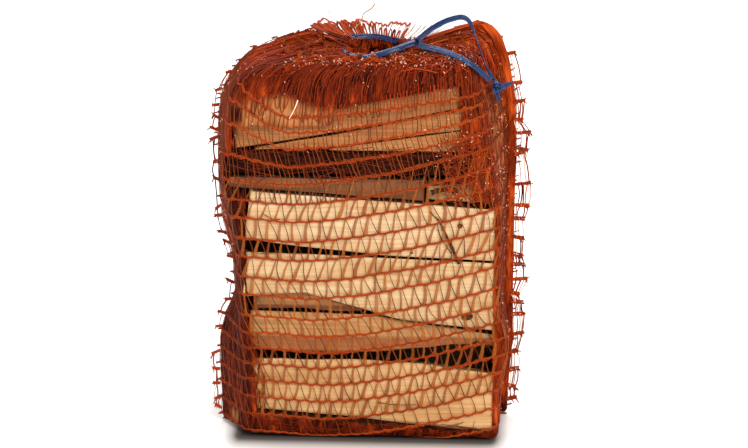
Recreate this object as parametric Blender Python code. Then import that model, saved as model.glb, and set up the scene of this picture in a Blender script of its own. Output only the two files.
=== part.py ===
"""Bag of kindling: split sticks in a knitted net sack with a blue drawstring tape.

Metres, +Z up. The long sides of the sticks run along X, the front faces -Y, and the origin is the
middle of the footprint. Sizes below are in millimetres and are turned to metres when a mesh is made.
"""

import math
import random

import bmesh
import bpy
from mathutils import Vector

MM = 0.001

# Net sack
WALL = 1.2
SEAM_THICK = 2.0
CORNER_STEPS = 4
SIDE_POINTS = 3

# Drawstring
TAPE_CLEARANCE = 0.8
TAPE_THICK = 1.5
TAPE_BOTTOM = 300.6
TAPE_TOP = 303.4
STRAND_RADIUS = 1.5
STRAND_STEP = 6.0

# Sticks
SPLIT_ROUGHNESS = 0.45
END_ROUGHNESS = 0.8
STATION_STEP = 26.0

# Colours as linear RGB, with roughness
FINISHES = {
    "pale split wood": ((0.72, 0.52, 0.28), 0.75),
    "brown bark": ((0.10, 0.05, 0.025), 0.9),
    "orange knitted net": ((0.45, 0.075, 0.02), 0.45),
    "blue film tape": ((0.012, 0.07, 0.26), 0.25),
}

# The sack's outline at each height, with a seam line at each side:
# z, front left x, front right x, right seam x, back right x, back left x, left seam x,
# front y, back y, left seam y, right seam y, corner radius, left fin, right fin
SACK_LEVELS = (
    (0, -90, 102, 105, 88, -114, -116, -59.5, 59.5, -26, 2, 6, 2, 4),
    (4, -94, 106, 108, 91, -118.5, -119, -62.5, 62.5, -26, 2, 5, 3, 9),
    (40, -94, 107, 109.5, 92, -119.5, -120, -62.5, 62.5, -26, 2, 5, 4, 15),
    (72, -95, 112.5, 112.5, 94, -119.5, -120, -62.5, 62.5, -22, 2, 5, 4, 12.5),
    (88, -97, 112.5, 111.5, 99, -116, -116, -62.5, 62.5, -16, 2, 5, 4, 13.5),
    (105, -98, 105, 111, 98, -108, -109, -62.5, 62.5, -8, 2, 5, 5, 14),
    (137, -98, 105, 111, 97, -110, -112, -62.5, 62.5, 2, 2, 5, 5, 14),
    (159, -99, 105, 111, 96, -118, -119, -62.5, 62.5, 2, 2, 5, 4, 14),
    (187, -107, 105, 111, 94, -121, -121.5, -62.5, 62.5, 2, 2, 5, 3, 14),
    (219, -112, 99, 112, 97, -122, -122, -62, 62.5, 2, 2, 5, 3, 13),
    (250, -108, 92, 111, 108, -121, -121, -61, 62.5, 3, 3, 6, 3, 12),
    (265, -105, 88, 109, 106, -119, -118.5, -60, 62, 4, 4, 7, 3, 11),
    (276, -102, 84, 105, 102, -115, -114, -59, 61, 5, 5, 10, 3, 9),
    (289, -92, 82, 98, 90, -102, -104, -57, 56, 7, 7, 12, 4, 8),
    (296, -72, 76, 88, 76, -84, -90, -48, 48, 9, 9, 14, 4, 7),
    (300, -4, 23, 37, 24, -6, -19, -32, 27, 0, 0, 12, 3, 3),
    (304, -4, 23, 37, 24, -6, -19, -32, 27, 0, 0, 12, 3, 3),
    (311, -18, 22, 60, 52, -30, -46, -32, 36, 12, 16, 10, 4, 5),
    (317, -22, 22, 80, 60, -36, -58, -30, 40, 14, 22, 10, 5, 7),
)

# The drawstring's two strands, from where they leave the hem to the knot
UPPER_STRAND = (
    (38, -17, 310), (45, -20, 317), (54, -22, 323.5), (64, -22, 328), (74, -22, 329.5),
    (80, -24, 324), (84, -28, 313.5), (88, -32, 302.5), (92, -34, 293), (98, -33, 283.5),
)
LOWER_STRAND = (
    (39, -22, 308.5), (47, -28, 307), (57, -35, 306), (68, -42, 303), (79, -46, 298),
    (88, -43.5, 290.5), (95, -38.5, 284),
)

# The knot from one tail's tip through its lump to the other's: place, half width, half thickness
KNOT_SECTIONS = (
    ((112, -37, 281.5), 3.0, 0.5),
    ((107, -36.5, 279.5), 2.6, 0.7),
    ((103, -36, 278.5), 3.4, 2.2),
    ((100, -36, 277.5), 4.2, 3.4),
    ((98.5, -36, 275), 3.6, 2.6),
    ((99.5, -36.5, 270), 2.6, 0.8),
    ((101, -37, 265), 3.2, 0.5),
)

# Each stick: name, finish, and its corners (y, z) at stations along x, from the lower front corner
# up the front, back along the top and down
STICKS = (
    ("kindling_floor_front", "brown bark", (
        (-93, ((-51, 2.6), (-53, 20), (-16, 22), (-15, 2.6))),
        (92, ((-50, 2), (-50, 4.4), (-20, 6.4), (-17, 2))))),
    ("kindling_front_bottom", "pale split wood", (
        (-88, ((-60, 23.5), (-60, 65), (-18, 55), (-16, 26))),
        (103, ((-60, 6.2), (-60, 54.4), (-20, 44), (-18, 8.5))))),
    ("kindling_front_low", "pale split wood", (
        (-91, ((-55, 71.5), (-55, 103), (-19, 94.5), (-17, 73))),
        (3, ((-55, 73), (-55, 101), (-19, 93), (-17, 74.5))),
        (95, ((-54, 76), (-54, 85.5), (-19, 82), (-18, 78))),
        (109, ((-53, 74), (-53, 84), (-19, 81), (-18, 76))))),
    ("kindling_wedge", "pale split wood", (
        (-87, ((-52, 104.8), (-52, 113.8), (-24, 115), (-22, 106.5))),
        (-47, ((-53, 106), (-53, 117.6), (-24, 117.4), (-22, 108))),
        (-20, ((-53, 103), (-53, 109.5), (-24, 110.5), (-22, 105))),
        (-2, ((-53, 102.4), (-53, 104.8), (-24, 106.4), (-22, 104.5))))),
    ("kindling_front_middle", "pale split wood", (
        (-94, ((-60, 115.2), (-60, 152), (-20, 140), (-17, 117))),
        (-47, ((-60, 119.3), (-60, 150.6), (-20, 139), (-17, 119))),
        (-4, ((-60, 106.8), (-60, 149), (-20, 138), (-17, 109))),
        (27, ((-60, 98.2), (-60, 148), (-20, 137), (-17, 101))),
        (101, ((-60, 90.5), (-60, 145), (-20, 134), (-17, 93))))),
    ("kindling_front_upper", "pale split wood", (
        (-90, ((-60, 162.5), (-60, 199.8), (-22, 199.5), (-19, 164))),
        (-50, ((-60, 156), (-60, 197.2), (-22, 197.2), (-19, 158))),
        (12, ((-60, 150), (-60, 193), (-22, 193.4), (-19, 151.8))),
        (101, ((-60, 146.6), (-60, 187.2), (-22, 187.6), (-19, 148.6))))),
    ("kindling_shaded", "pale split wood", (
        (-106, ((-53, 202.2), (-53, 209), (-14, 209.6), (-12, 203))),
        (46, ((-53, 193), (-52, 208), (-14, 208.6), (-12, 194))))),
    ("kindling_offcut", "pale split wood", (
        (48, ((-50, 192.6), (-51, 203), (-40, 206.6), (-28, 205), (-26, 193.2))),
        (84, ((-50, 190.4), (-51, 206), (-40, 208), (-28, 205), (-26, 191))))),
    ("kindling_bark_front", "brown bark", (
        (-108, ((-46, 211), (-50, 219), (-46, 229), (-10, 229), (-8, 211.5))),
        (90, ((-46, 210), (-50, 219), (-46, 229.3), (-10, 229.3), (-8, 210.5))))),
    ("kindling_fan_lower", "pale split wood", (
        (-28, ((-52, 230.8), (-52, 231.9), (-20, 232.2), (-18, 231))),
        (78, ((-53, 231), (-53, 247.5), (-18, 248.5), (-16, 232))))),
    ("kindling_fan_middle", "pale split wood", (
        (-85, ((-52, 230.6), (-52, 232.3), (-20, 232.8), (-18, 231.4))),
        (-28, ((-52, 233), (-52, 242.3), (-20, 242.8), (-18, 233.6))),
        (79, ((-53, 248.8), (-53, 263.5), (-18, 264.3), (-16, 250))))),
    ("kindling_fan_upper", "pale split wood", (
        (-101, ((-50, 231), (-50, 257), (-44, 259), (-12, 260), (-9, 232.5))),
        (-32, ((-52, 243.2), (-52, 261), (-46, 262.8), (-12, 263), (-9, 245.5))),
        (72, ((-51, 263.8), (-51, 283), (-46, 285.5), (-13, 285), (-10, 266.6))))),
    ("kindling_middle_1", "pale split wood", (
        (-110, ((-11, 2), (-11, 33), (18, 36), (20, 2))),
        (88, ((-13, 2), (-12, 30), (17, 34), (19, 2))))),
    ("kindling_middle_2", "pale split wood", (
        (-104, ((-13, 35), (-13, 69), (19, 67), (21, 38.5))),
        (97, ((-14, 32), (-12, 70), (19, 66), (20, 36))))),
    ("kindling_middle_3", "brown bark", (
        (-100, ((-13, 71.5), (-13, 90), (-8, 105), (19, 103), (21, 69.5))),
        (94, ((-12, 72), (-14, 92), (-10, 106), (19, 104), (21, 68.5))))),
    ("kindling_middle_4", "pale split wood", (
        (-103, ((-12, 107.5), (-13, 148), (18, 150), (21, 105.5))),
        (96, ((-13, 108), (-12, 144), (18, 147), (21, 106.5))))),
    ("kindling_middle_5", "pale split wood", (
        (-106, ((-13, 150.5), (-14, 190), (20, 186), (20, 152.5))),
        (90, ((-13, 147), (-15, 184), (20, 181), (20, 149.5))))),
    ("kindling_middle_6", "pale split wood", (
        (-115, ((-5, 192), (-5, 226), (20, 229), (21, 188.5))),
        (86, ((-6, 186), (-5, 224), (20, 226), (21, 183.5))))),
    ("kindling_middle_7", "pale split wood", (
        (-96, ((-5, 228.5), (-5, 264), (19, 268), (21, 231.5))),
        (103, ((-4, 226.8), (-6, 256), (19, 262), (21, 228.5))))),
    ("kindling_back_1", "pale split wood", (
        (-115, ((24, 2.6), (24, 44), (58, 40), (59, 3.4))),
        (84, ((23, 2.6), (24, 40), (58, 44), (59, 3.4))))),
    ("kindling_back_2", "brown bark", (
        (-113, ((24, 46.2), (24, 80), (48, 86), (59, 76), (60, 42))),
        (87, ((23, 42.5), (24, 78), (48, 83), (59, 74), (60, 46.2))))),
    ("kindling_back_3", "pale split wood", (
        (-103, ((24, 82.5), (24, 118), (59, 121), (60, 88))),
        (95, ((24, 80.5), (24, 115), (59, 119), (60, 86.5))))),
    ("kindling_back_4", "pale split wood", (
        (-106, ((24, 120.5), (24, 158), (59, 152), (59, 123.5))),
        (93, ((24, 117.5), (24, 152), (59, 158), (59, 121.5))))),
    ("kindling_back_5", "pale split wood", (
        (-114, ((24, 160.5), (24, 196), (59, 199), (60, 154.5))),
        (88, ((24, 154.5), (24, 190), (59, 196), (60, 160.5))))),
    ("kindling_back_6", "pale split wood", (
        (-119, ((24, 198.5), (24, 236), (59, 230), (60, 201.8))),
        (90, ((24, 192.5), (24, 234), (59, 228), (60, 198.6))))),
    ("kindling_back_7", "pale split wood", (
        (-108, ((24, 238.5), (24, 268), (40, 270), (56, 258), (60, 232.6))),
        (99, ((24, 236.5), (23, 266), (40, 268), (55, 258), (60, 230.6))))),
)


def clear_scene():
    """Remove every object, so that the script gives the same result each run."""
    for item in list(bpy.data.objects):
        bpy.data.objects.remove(item, do_unlink=True)


def finish(name):
    """A Principled material of that name from FINISHES."""
    found = bpy.data.materials.get(name)
    if found:
        return found
    colour, roughness = FINISHES[name]
    material = bpy.data.materials.new(name)
    material.use_nodes = True
    shader = material.node_tree.nodes["Principled BSDF"]
    shader.inputs["Base Color"].default_value = (*colour, 1.0)
    shader.inputs["Roughness"].default_value = roughness
    shader.inputs["Metallic"].default_value = 0.0
    return material


def add_object(name, mesh_builder, material_name):
    """Turn a bmesh in millimetres into a named object in metres with its normals facing out."""
    bmesh.ops.scale(mesh_builder, vec=(MM, MM, MM), verts=mesh_builder.verts)
    bmesh.ops.recalc_face_normals(mesh_builder, faces=mesh_builder.faces)
    mesh = bpy.data.meshes.new(name)
    mesh_builder.to_mesh(mesh)
    mesh_builder.free()
    item = bpy.data.objects.new(name, mesh)
    item.data.materials.append(finish(material_name))
    bpy.context.collection.objects.link(item)
    return item


def skin_rings(mesh_builder, rings):
    """Quads between neighbouring rings of the same number of vertices."""
    count = len(rings[0])
    for lower, upper in zip(rings, rings[1:]):
        for i in range(count):
            j = (i + 1) % count
            mesh_builder.faces.new((lower[i], lower[j], upper[j], upper[i]))


def close_ring(mesh_builder, ring):
    """A fan of triangles from the ring's middle."""
    middle = sum((vertex.co for vertex in ring), Vector()) / len(ring)
    hub = mesh_builder.verts.new(middle)
    for i, vertex in enumerate(ring):
        mesh_builder.faces.new((vertex, ring[(i + 1) % len(ring)], hub))


def outline_between(stations, x):
    """The stick's corners at x, read straight between its stations."""
    for (x0, corners0), (x1, corners1) in zip(stations, stations[1:]):
        if x <= x1:
            share = (x - x0) / (x1 - x0)
            return [
                (y0 + (y1 - y0) * share, z0 + (z1 - z0) * share)
                for (y0, z0), (y1, z1) in zip(corners0, corners1)
            ]
    return list(stations[-1][1])


def stick_places(stations):
    """The x of each section: every station, and even steps between them."""
    places = [stations[0][0]]
    for (x0, _), (x1, _) in zip(stations, stations[1:]):
        steps = max(1, round((x1 - x0) / STATION_STEP))
        places += [x0 + (x1 - x0) * step / steps for step in range(1, steps + 1)]
    return places


def split_stick(name, material_name, stations):
    """One split stick: its outline swept along x, worn a little inwards where the wood tore."""
    chance = random.Random(name)
    builder = bmesh.new()
    rings = []
    places = stick_places(stations)
    for place in places:
        corners = outline_between(stations, place)
        middle_y = sum(y for y, _ in corners) / len(corners)
        middle_z = sum(z for _, z in corners) / len(corners)
        at_end = place in (places[0], places[-1])
        inward = 1.0 if place == places[0] else -1.0
        ring = []
        for i, (y, z) in enumerate(corners):
            next_y, next_z = corners[(i + 1) % len(corners)]
            for spot_y, spot_z in ((y, z), ((y + next_y) / 2, (z + next_z) / 2)):
                to_middle = Vector((0.0, middle_y - spot_y, middle_z - spot_z))
                wear = SPLIT_ROUGHNESS * chance.random()
                spot = Vector((place, spot_y, spot_z)) + to_middle.normalized() * wear
                if at_end:
                    spot.x += inward * END_ROUGHNESS * chance.random()
                ring.append(builder.verts.new(spot))
        rings.append(ring)
    skin_rings(builder, rings)
    close_ring(builder, rings[0])
    close_ring(builder, rings[-1])
    return add_object(name, builder, material_name)


def corner_arc(corner, before, after, radius):
    """Points that round a corner of an outline, from the side before it to the side after it."""
    to_before = (before - corner).normalized()
    to_after = (after - corner).normalized()
    start = corner + to_before * radius
    end = corner + to_after * radius
    points = []
    for step in range(CORNER_STEPS):
        share = step / (CORNER_STEPS - 1)
        control = start.lerp(corner, share).lerp(corner.lerp(end, share), share)
        points.append(control)
    return points


def along(start, end, count):
    """Points between two places, without them."""
    return [start.lerp(end, (i + 1) / (count + 1)) for i in range(count)]


def sack_outline(level, inset, with_fins):
    """The sack's loop at one level, counted from the front left corner round by the right seam."""
    (z, front_left, front_right, seam_right, back_right, back_left, seam_left,
     front, back, left_seam_y, right_seam_y, radius, fin_left, fin_right) = level
    a = Vector((front_left + inset, front + inset, z))
    b = Vector((front_right - inset, front + inset, z))
    c = Vector((seam_right - inset, right_seam_y, z))
    d = Vector((back_right - inset, back - inset, z))
    e = Vector((back_left + inset, back - inset, z))
    f = Vector((seam_left + inset, left_seam_y, z))
    points = corner_arc(a, f, b, radius)
    second = corner_arc(b, a, c, radius)
    points += along(points[-1], second[0], SIDE_POINTS) + second
    points += seam_points(c, 1.0, fin_right, with_fins)
    third = corner_arc(d, c, e, radius)
    fourth = corner_arc(e, d, f, radius)
    points += third + along(third[-1], fourth[0], SIDE_POINTS) + fourth
    points += seam_points(f, -1.0, fin_left, with_fins)
    return points


def seam_points(place, side, reach, with_fins):
    """Four points at a side seam: a flap that stands out, or the plain wall inside it."""
    half = SEAM_THICK / 2
    out = Vector((side * reach, 0.0, 0.0)) if with_fins else Vector()
    near = Vector((0.0, half * side, 0.0))
    tip = near if with_fins else near * 0.4
    return [place - near, place + out - tip, place + out + tip, place + near]


def net_sack():
    """The sack as a thin closed shell, open at the gathered mouth, with its two seam flaps."""
    builder = bmesh.new()
    outer = [
        [builder.verts.new(point) for point in sack_outline(level, 0.0, True)]
        for level in SACK_LEVELS
    ]
    inner = []
    for level in SACK_LEVELS:
        raised = (max(level[0], WALL), *level[1:])
        inner.append([builder.verts.new(point) for point in sack_outline(raised, WALL, False)])
    skin_rings(builder, outer)
    skin_rings(builder, inner)
    skin_rings(builder, [outer[-1], inner[-1]])
    builder.faces.new(outer[0])
    builder.faces.new(inner[0])
    return add_object("net_sack", builder, "orange knitted net")


def drawstring_hem():
    """The tape round the gathered neck of the sack."""
    neck = next(level for level in SACK_LEVELS if level[0] == 300)
    reach = 4.0
    hem_line = (*neck[:3], neck[3] + reach, *neck[4:6], neck[6] - reach, *neck[7:12], 0, 0)
    builder = bmesh.new()
    loops = []
    for inset, z in (
        (-TAPE_CLEARANCE, TAPE_BOTTOM),
        (-TAPE_CLEARANCE - TAPE_THICK, TAPE_BOTTOM),
        (-TAPE_CLEARANCE - TAPE_THICK, TAPE_TOP),
        (-TAPE_CLEARANCE, TAPE_TOP),
    ):
        points = sack_outline(hem_line, inset, False)
        loops.append([builder.verts.new((point.x, point.y, z)) for point in points])
    skin_rings(builder, loops + [loops[0]])
    return add_object("drawstring_hem", builder, "blue film tape")


def smooth_route(points, step):
    """A smooth curve through hand-placed points, read every step millimetres."""
    places = [Vector(point) for point in points]
    padded = [places[0] * 2 - places[1], *places, places[-1] * 2 - places[-2]]
    route = []
    for p0, p1, p2, p3 in zip(padded, padded[1:], padded[2:], padded[3:]):
        count = max(1, round((p2 - p1).length / step))
        for i in range(count):
            t = i / count
            route.append(
                0.5 * (2 * p1 + (p2 - p0) * t + (2 * p0 - 5 * p1 + 4 * p2 - p3) * t * t
                       + (3 * p1 - p0 - 3 * p2 + p3) * t ** 3)
            )
    return [*route, places[-1]]


def drawstring_strand(name, points):
    """A free stretch of the tape as a plain tube."""
    curve = bpy.data.curves.new(name, "CURVE")
    curve.dimensions = "3D"
    curve.bevel_depth = STRAND_RADIUS * MM
    curve.bevel_resolution = 2
    curve.use_fill_caps = True
    spline = curve.splines.new("POLY")
    route = smooth_route(points, STRAND_STEP)
    spline.points.add(len(route) - 1)
    for point, place in zip(spline.points, route):
        point.co = (*(place * MM), 1.0)
    item = bpy.data.objects.new(name, curve)
    curve.materials.append(finish("blue film tape"))
    bpy.context.collection.objects.link(item)
    return item


def drawstring_knot():
    """The knot with its two flared tails, as one lump."""
    builder = bmesh.new()
    rings = []
    places = [Vector(place) for place, _, _ in KNOT_SECTIONS]
    sides = 10
    for i, (place, half_width, half_thick) in enumerate(KNOT_SECTIONS):
        ahead = places[min(i + 1, len(places) - 1)] - places[max(i - 1, 0)]
        across = ahead.cross(Vector((0.0, 1.0, 0.0))).normalized()
        outward = Vector((0.0, 1.0, 0.0))
        ring = []
        for side in range(sides):
            angle = 2 * math.pi * side / sides
            spot = Vector(place) + across * half_width * math.cos(angle)
            ring.append(builder.verts.new(spot + outward * half_thick * math.sin(angle)))
        rings.append(ring)
    skin_rings(builder, rings)
    close_ring(builder, rings[0])
    close_ring(builder, rings[-1])
    return add_object("drawstring_knot", builder, "blue film tape")


def main():
    clear_scene()
    for name, material_name, stations in STICKS:
        split_stick(name, material_name, stations)
    net_sack()
    drawstring_hem()
    drawstring_strand("drawstring_strand_upper", UPPER_STRAND)
    drawstring_strand("drawstring_strand_lower", LOWER_STRAND)
    drawstring_knot()


main()
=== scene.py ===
"""Bag of kindling: the looks.

Split sticks, a knitted net sack with its seams and gathered mouth, and a blue film drawstring,
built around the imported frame. Metres, +Z up, the front faces -Y. Sizes in the tables are
millimetres, and MM turns them to metres.
"""

import math
import random

import bmesh
import bpy
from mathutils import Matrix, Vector, noise


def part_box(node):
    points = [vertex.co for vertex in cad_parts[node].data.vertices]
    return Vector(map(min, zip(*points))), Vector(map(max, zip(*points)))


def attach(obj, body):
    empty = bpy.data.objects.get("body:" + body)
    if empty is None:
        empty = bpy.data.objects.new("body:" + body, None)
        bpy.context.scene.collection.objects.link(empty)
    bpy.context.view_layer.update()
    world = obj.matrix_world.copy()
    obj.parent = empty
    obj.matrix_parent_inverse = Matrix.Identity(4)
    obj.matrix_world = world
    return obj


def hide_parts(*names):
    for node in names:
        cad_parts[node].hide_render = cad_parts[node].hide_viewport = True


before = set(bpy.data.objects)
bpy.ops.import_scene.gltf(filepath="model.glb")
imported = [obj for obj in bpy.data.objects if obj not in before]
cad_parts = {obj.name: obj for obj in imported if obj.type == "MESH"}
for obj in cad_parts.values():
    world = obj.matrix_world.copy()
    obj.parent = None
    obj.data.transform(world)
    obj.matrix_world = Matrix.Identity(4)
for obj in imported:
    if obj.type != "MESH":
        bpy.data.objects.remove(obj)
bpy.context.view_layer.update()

MM = 0.001
BODY = "root"

# Camera, read from how the bag's bottom and top edges lie in the picture
LENS_MM = 85.0
SENSOR_MM = 36.0
CAMERA_AZIMUTH = math.radians(3.0)
CAMERA_HEIGHT = math.radians(14.0)
CAMERA_DISTANCE = 1.42
CAMERA_TARGET = Vector((0.004, 0.0, 0.160))

# Net: knitted rows run from one side seam to the other, and tapes zigzag between them.
# Heights of the rows up the cloth, each where it is lowest on the front
ROW_HEIGHTS = (
    -56, -42, -28, -14, 2, 16.5, 31, 45, 58.5, 71.5, 84, 98, 115, 129, 145.5, 160.5, 176.5, 190.5,
    205.5, 219, 233, 246, 258, 269, 279, 288, 296, 303, 309, 315, 320, 326.5, 337,
)
UNDER_EDGE = -61.0
TOP_EDGE = 338.0
FRONT_TOP_EDGE = 326.0
ZIGZAGS = 34
ROW_STEPS = 150
# The rows climb to the right seam: from where across the panel, by how much and in what curve
RIGHT_RISE_START = 0.33
RIGHT_RISE = 29.0
RIGHT_RISE_SPAN = 0.48
RIGHT_RISE_POWER = 1.6
LEFT_RISE_SPAN = 0.12
GATHER_START = 255.0
# Rows above which the tapes of the front all lean one way
SLANTED_ROWS = (129, 176.5, 190.5, 233, 246)
# The hollow before each ear: its place between corner and seam, and its share of the ear's lift
EAR_MIDDLE = 0.55
EAR_HOLLOW = 0.28
# The hem's loops, which stand up round the back of the mouth
HEM_SPAN = (0.02, 0.68)
LOOP_SPACING = 0.034
LOOP_HALF_WIDTH = 0.010
LOOP_FOOT = 324
LOOP_TOP = 336.0

# The sack's outline at each step t up the cloth, counted from the bottom's front or back edge:
# t, z, front left x, front right x, right seam x, back right x, back left x, left seam x,
# front y, back y, left seam y, right seam y, corner radius, and how far the left and right seams
# stand above the level's z where the sack's upper corners stick up as ears
SACK_LEVELS = (
    (-61, 1.0, -100, 95, 104, 90, -108, -115, -1.5, 1.5, 0, 0, 1.0, 0, 0),
    (-2, 1.0, -90, 102, 104.5, 88, -113, -115, -57.5, 57.5, -26, 2, 6, 0, 0),
    (1.5, 1.8, -92, 104, 106, 89, -116, -117, -60.6, 60.6, -26, 2, 6, 0, 0),
    (5, 5, -93.5, 105.4, 107.5, 90.5, -118, -118.5, -61.9, 61.9, -26, 2, 5, 0, 0),
    (40, 40, -93.5, 106.5, 109, 91.5, -119, -119.5, -61.9, 61.9, -26, 2, 5, 0, 0),
    (72, 72, -94.5, 112, 112, 93.5, -119, -119.5, -61.7, 61.9, -22, 2, 5, 0, 0),
    (88, 88, -96.5, 111.5, 111, 98.5, -115.5, -115.5, -61.3, 61.9, -16, 2, 5, 0, 0),
    (105, 105, -97.5, 104.6, 110.5, 97.5, -107.5, -108.5, -61.9, 61.9, -8, 2, 5, 0, 0),
    (137, 137, -97.5, 104.6, 110.5, 96.5, -109.5, -111.5, -61.9, 61.9, 2, 2, 5, 0, 0),
    (159, 159, -98.5, 104.6, 110.5, 95.5, -117.5, -118.5, -61.9, 61.9, 2, 2, 5, 0, 0),
    (187, 187, -105, 104.6, 110.5, 93.5, -120.5, -121, -61.9, 61.9, 2, 2, 5, 0, 0),
    (202, 202, -108, 101, 111, 95, -121, -121.5, -60.5, 61.8, 2, 2, 6, 0, 0),
    (219, 219, -110, 98, 111.5, 97, -121.5, -121.5, -57, 61.8, 2, 2, 7, 0, 0),
    (250, 250, -107, 92, 110.5, 107, -120.5, -120.5, -57, 61.6, 3, 3, 7, 0, 0),
    (265, 265, -104, 88, 109.5, 105, -118.5, -118, -57, 61, 4, 4, 8, 0, 0),
    (276, 276, -101, 84, 107, 101, -114.5, -114, -56.5, 60, 5, 5, 10, 0, 2),
    (288, 289, -93, 81, 104, 90, -103, -104, -54, 56, 7, 7, 12, 1, 6),
    (296, 297, -78, 77, 98, 80, -88, -92, -49, 50, 9, 9, 14, 4, 14),
    (303, 300, -52, 60, 88, 60, -62, -72, -44, 42, 8, 13, 16, 8, 21),
    (312, 300.5, -26, 40, 66, 40, -32, -46, -37, 34, 6, 10, 14, 15, 15),
    (322, 300.5, -4, 23, 37, 24, -6, -19, -31.5, 26.5, 0, 0, 12, 7, 5),
    (326, 304, -4, 23, 37, 24, -6, -19, -31.5, 26.5, 0, 0, 12, 7, 5),
    (332, 309, -16, 23, 56, 46, -26, -40, -31.5, 33, 10, 13, 11, 6, 4),
    (338, 315, -22, 23, 70, 56, -34, -52, -30.5, 38, 14, 18, 10, 2, 3),
)

# The drawstring's two strands, on the same routes as their solids
UPPER_STRAND = (
    (38, -17, 310), (45, -20, 317), (54, -22, 323.5), (64, -22, 328), (74, -22, 329.5),
    (80, -24, 324), (84, -28, 313.5), (88, -32, 302.5), (92, -34, 293), (98, -33, 283.5),
)
LOWER_STRAND = (
    (39, -22, 308.5), (47, -28, 307), (57, -35, 306), (68, -42, 303), (79, -46, 298),
    (88, -43.5, 290.5), (95, -38.5, 284),
)
TAPE_WIDTH = 5.0
TAPE_COLUMNS = 7
TAPE_CREASE = 0.5
# Growth rings 2.4 mm wide, as in a fast-grown spruce, so that they show in the picture
RING_WIDTH = 0.0024
# The dark shadow painted on the floor round the bag's foot: half its core's size in metres, and how fast it
# fades out
SHADE_CORE = (0.098, 0.056, 0)
SHADE_FADE = (62, 27, 0)


def linear(code):
    """An sRGB hex colour as linear RGBA."""
    parts = [int(code[i:i + 2], 16) / 255 for i in (1, 3, 5)]
    return (*[c / 12.92 if c <= 0.04045 else ((c + 0.055) / 1.055) ** 2.4 for c in parts], 1.0)


def add_node(tree, kind, inputs=None, **settings):
    """A node with its settings, and its inputs set to values or linked to sockets."""
    node = tree.nodes.new(kind)
    for key, value in settings.items():
        setattr(node, key, value)
    for socket, value in (inputs or {}).items():
        target = node.inputs[socket]
        if isinstance(value, bpy.types.Node):
            tree.links.new(value.outputs[0], target)
        elif isinstance(value, bpy.types.NodeSocket):
            tree.links.new(value, target)
        else:
            target.default_value = value
    return node


def ramp(tree, factor, stops):
    """A colour ramp of hex colours at places from 0 to 1."""
    node = add_node(tree, "ShaderNodeValToRGB", {"Fac": factor})
    elements = node.color_ramp.elements
    for index, (place, code) in enumerate(stops):
        element = elements[index] if index < 2 else elements.new(place)
        element.position = place
        element.color = linear(code)
    return node


def smooth_step(value, low, high):
    """0 below the low limit, 1 above the high one and an eased rise between them."""
    share = min(1.0, max(0.0, (value - low) / (high - low)))
    return share * share * (3 - 2 * share)


def band(value, rise_low, rise_high, fall_low, fall_high):
    """1 inside a band and 0 outside it, with an eased rise and fall at its edges."""
    return smooth_step(value, rise_low, rise_high) * (1 - smooth_step(value, fall_low, fall_high))


def smooth_route(points, step):
    """A smooth curve through given points, read about every step."""
    places = [Vector(point) for point in points]
    padded = [places[0] * 2 - places[1], *places, places[-1] * 2 - places[-2]]
    route = []
    for p0, p1, p2, p3 in zip(padded, padded[1:], padded[2:], padded[3:]):
        count = max(1, round((p2 - p1).length / step))
        for i in range(count):
            t = i / count
            route.append(
                0.5 * (2 * p1 + (p2 - p0) * t + (2 * p0 - 5 * p1 + 4 * p2 - p3) * t * t
                       + (3 * p1 - p0 - 3 * p2 + p3) * t ** 3)
            )
    return [*route, places[-1]]


# Materials


def new_material(name):
    """An empty material and its node tree."""
    made = bpy.data.materials.new(name)
    made.use_nodes = True
    made.node_tree.nodes.clear()
    return made, made.node_tree


def close_material(tree, colour, roughness, height=None, bump=0.3, distance=0.001, **sockets):
    """The Principled shader and output of a material."""
    inputs = {"Base Color": colour, "Roughness": roughness}
    inputs.update({name.replace("_", " "): value for name, value in sockets.items()})
    if height is not None:
        inputs["Normal"] = add_node(
            tree, "ShaderNodeBump", {"Height": height, "Strength": bump, "Distance": distance}
        )
    shader = add_node(tree, "ShaderNodeBsdfPrincipled", inputs)
    add_node(tree, "ShaderNodeOutputMaterial", {"Surface": shader})
    return shader


def stretched_noise(tree, place, scale, detail):
    """Noise on a place attribute, drawn out by a scale for each axis."""
    stretched = add_node(
        tree, "ShaderNodeMapping", {"Vector": place.outputs["Vector"], "Scale": scale}
    )
    return add_node(tree, "ShaderNodeTexNoise", {"Vector": stretched, "Scale": 1.0, "Detail": detail})


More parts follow.
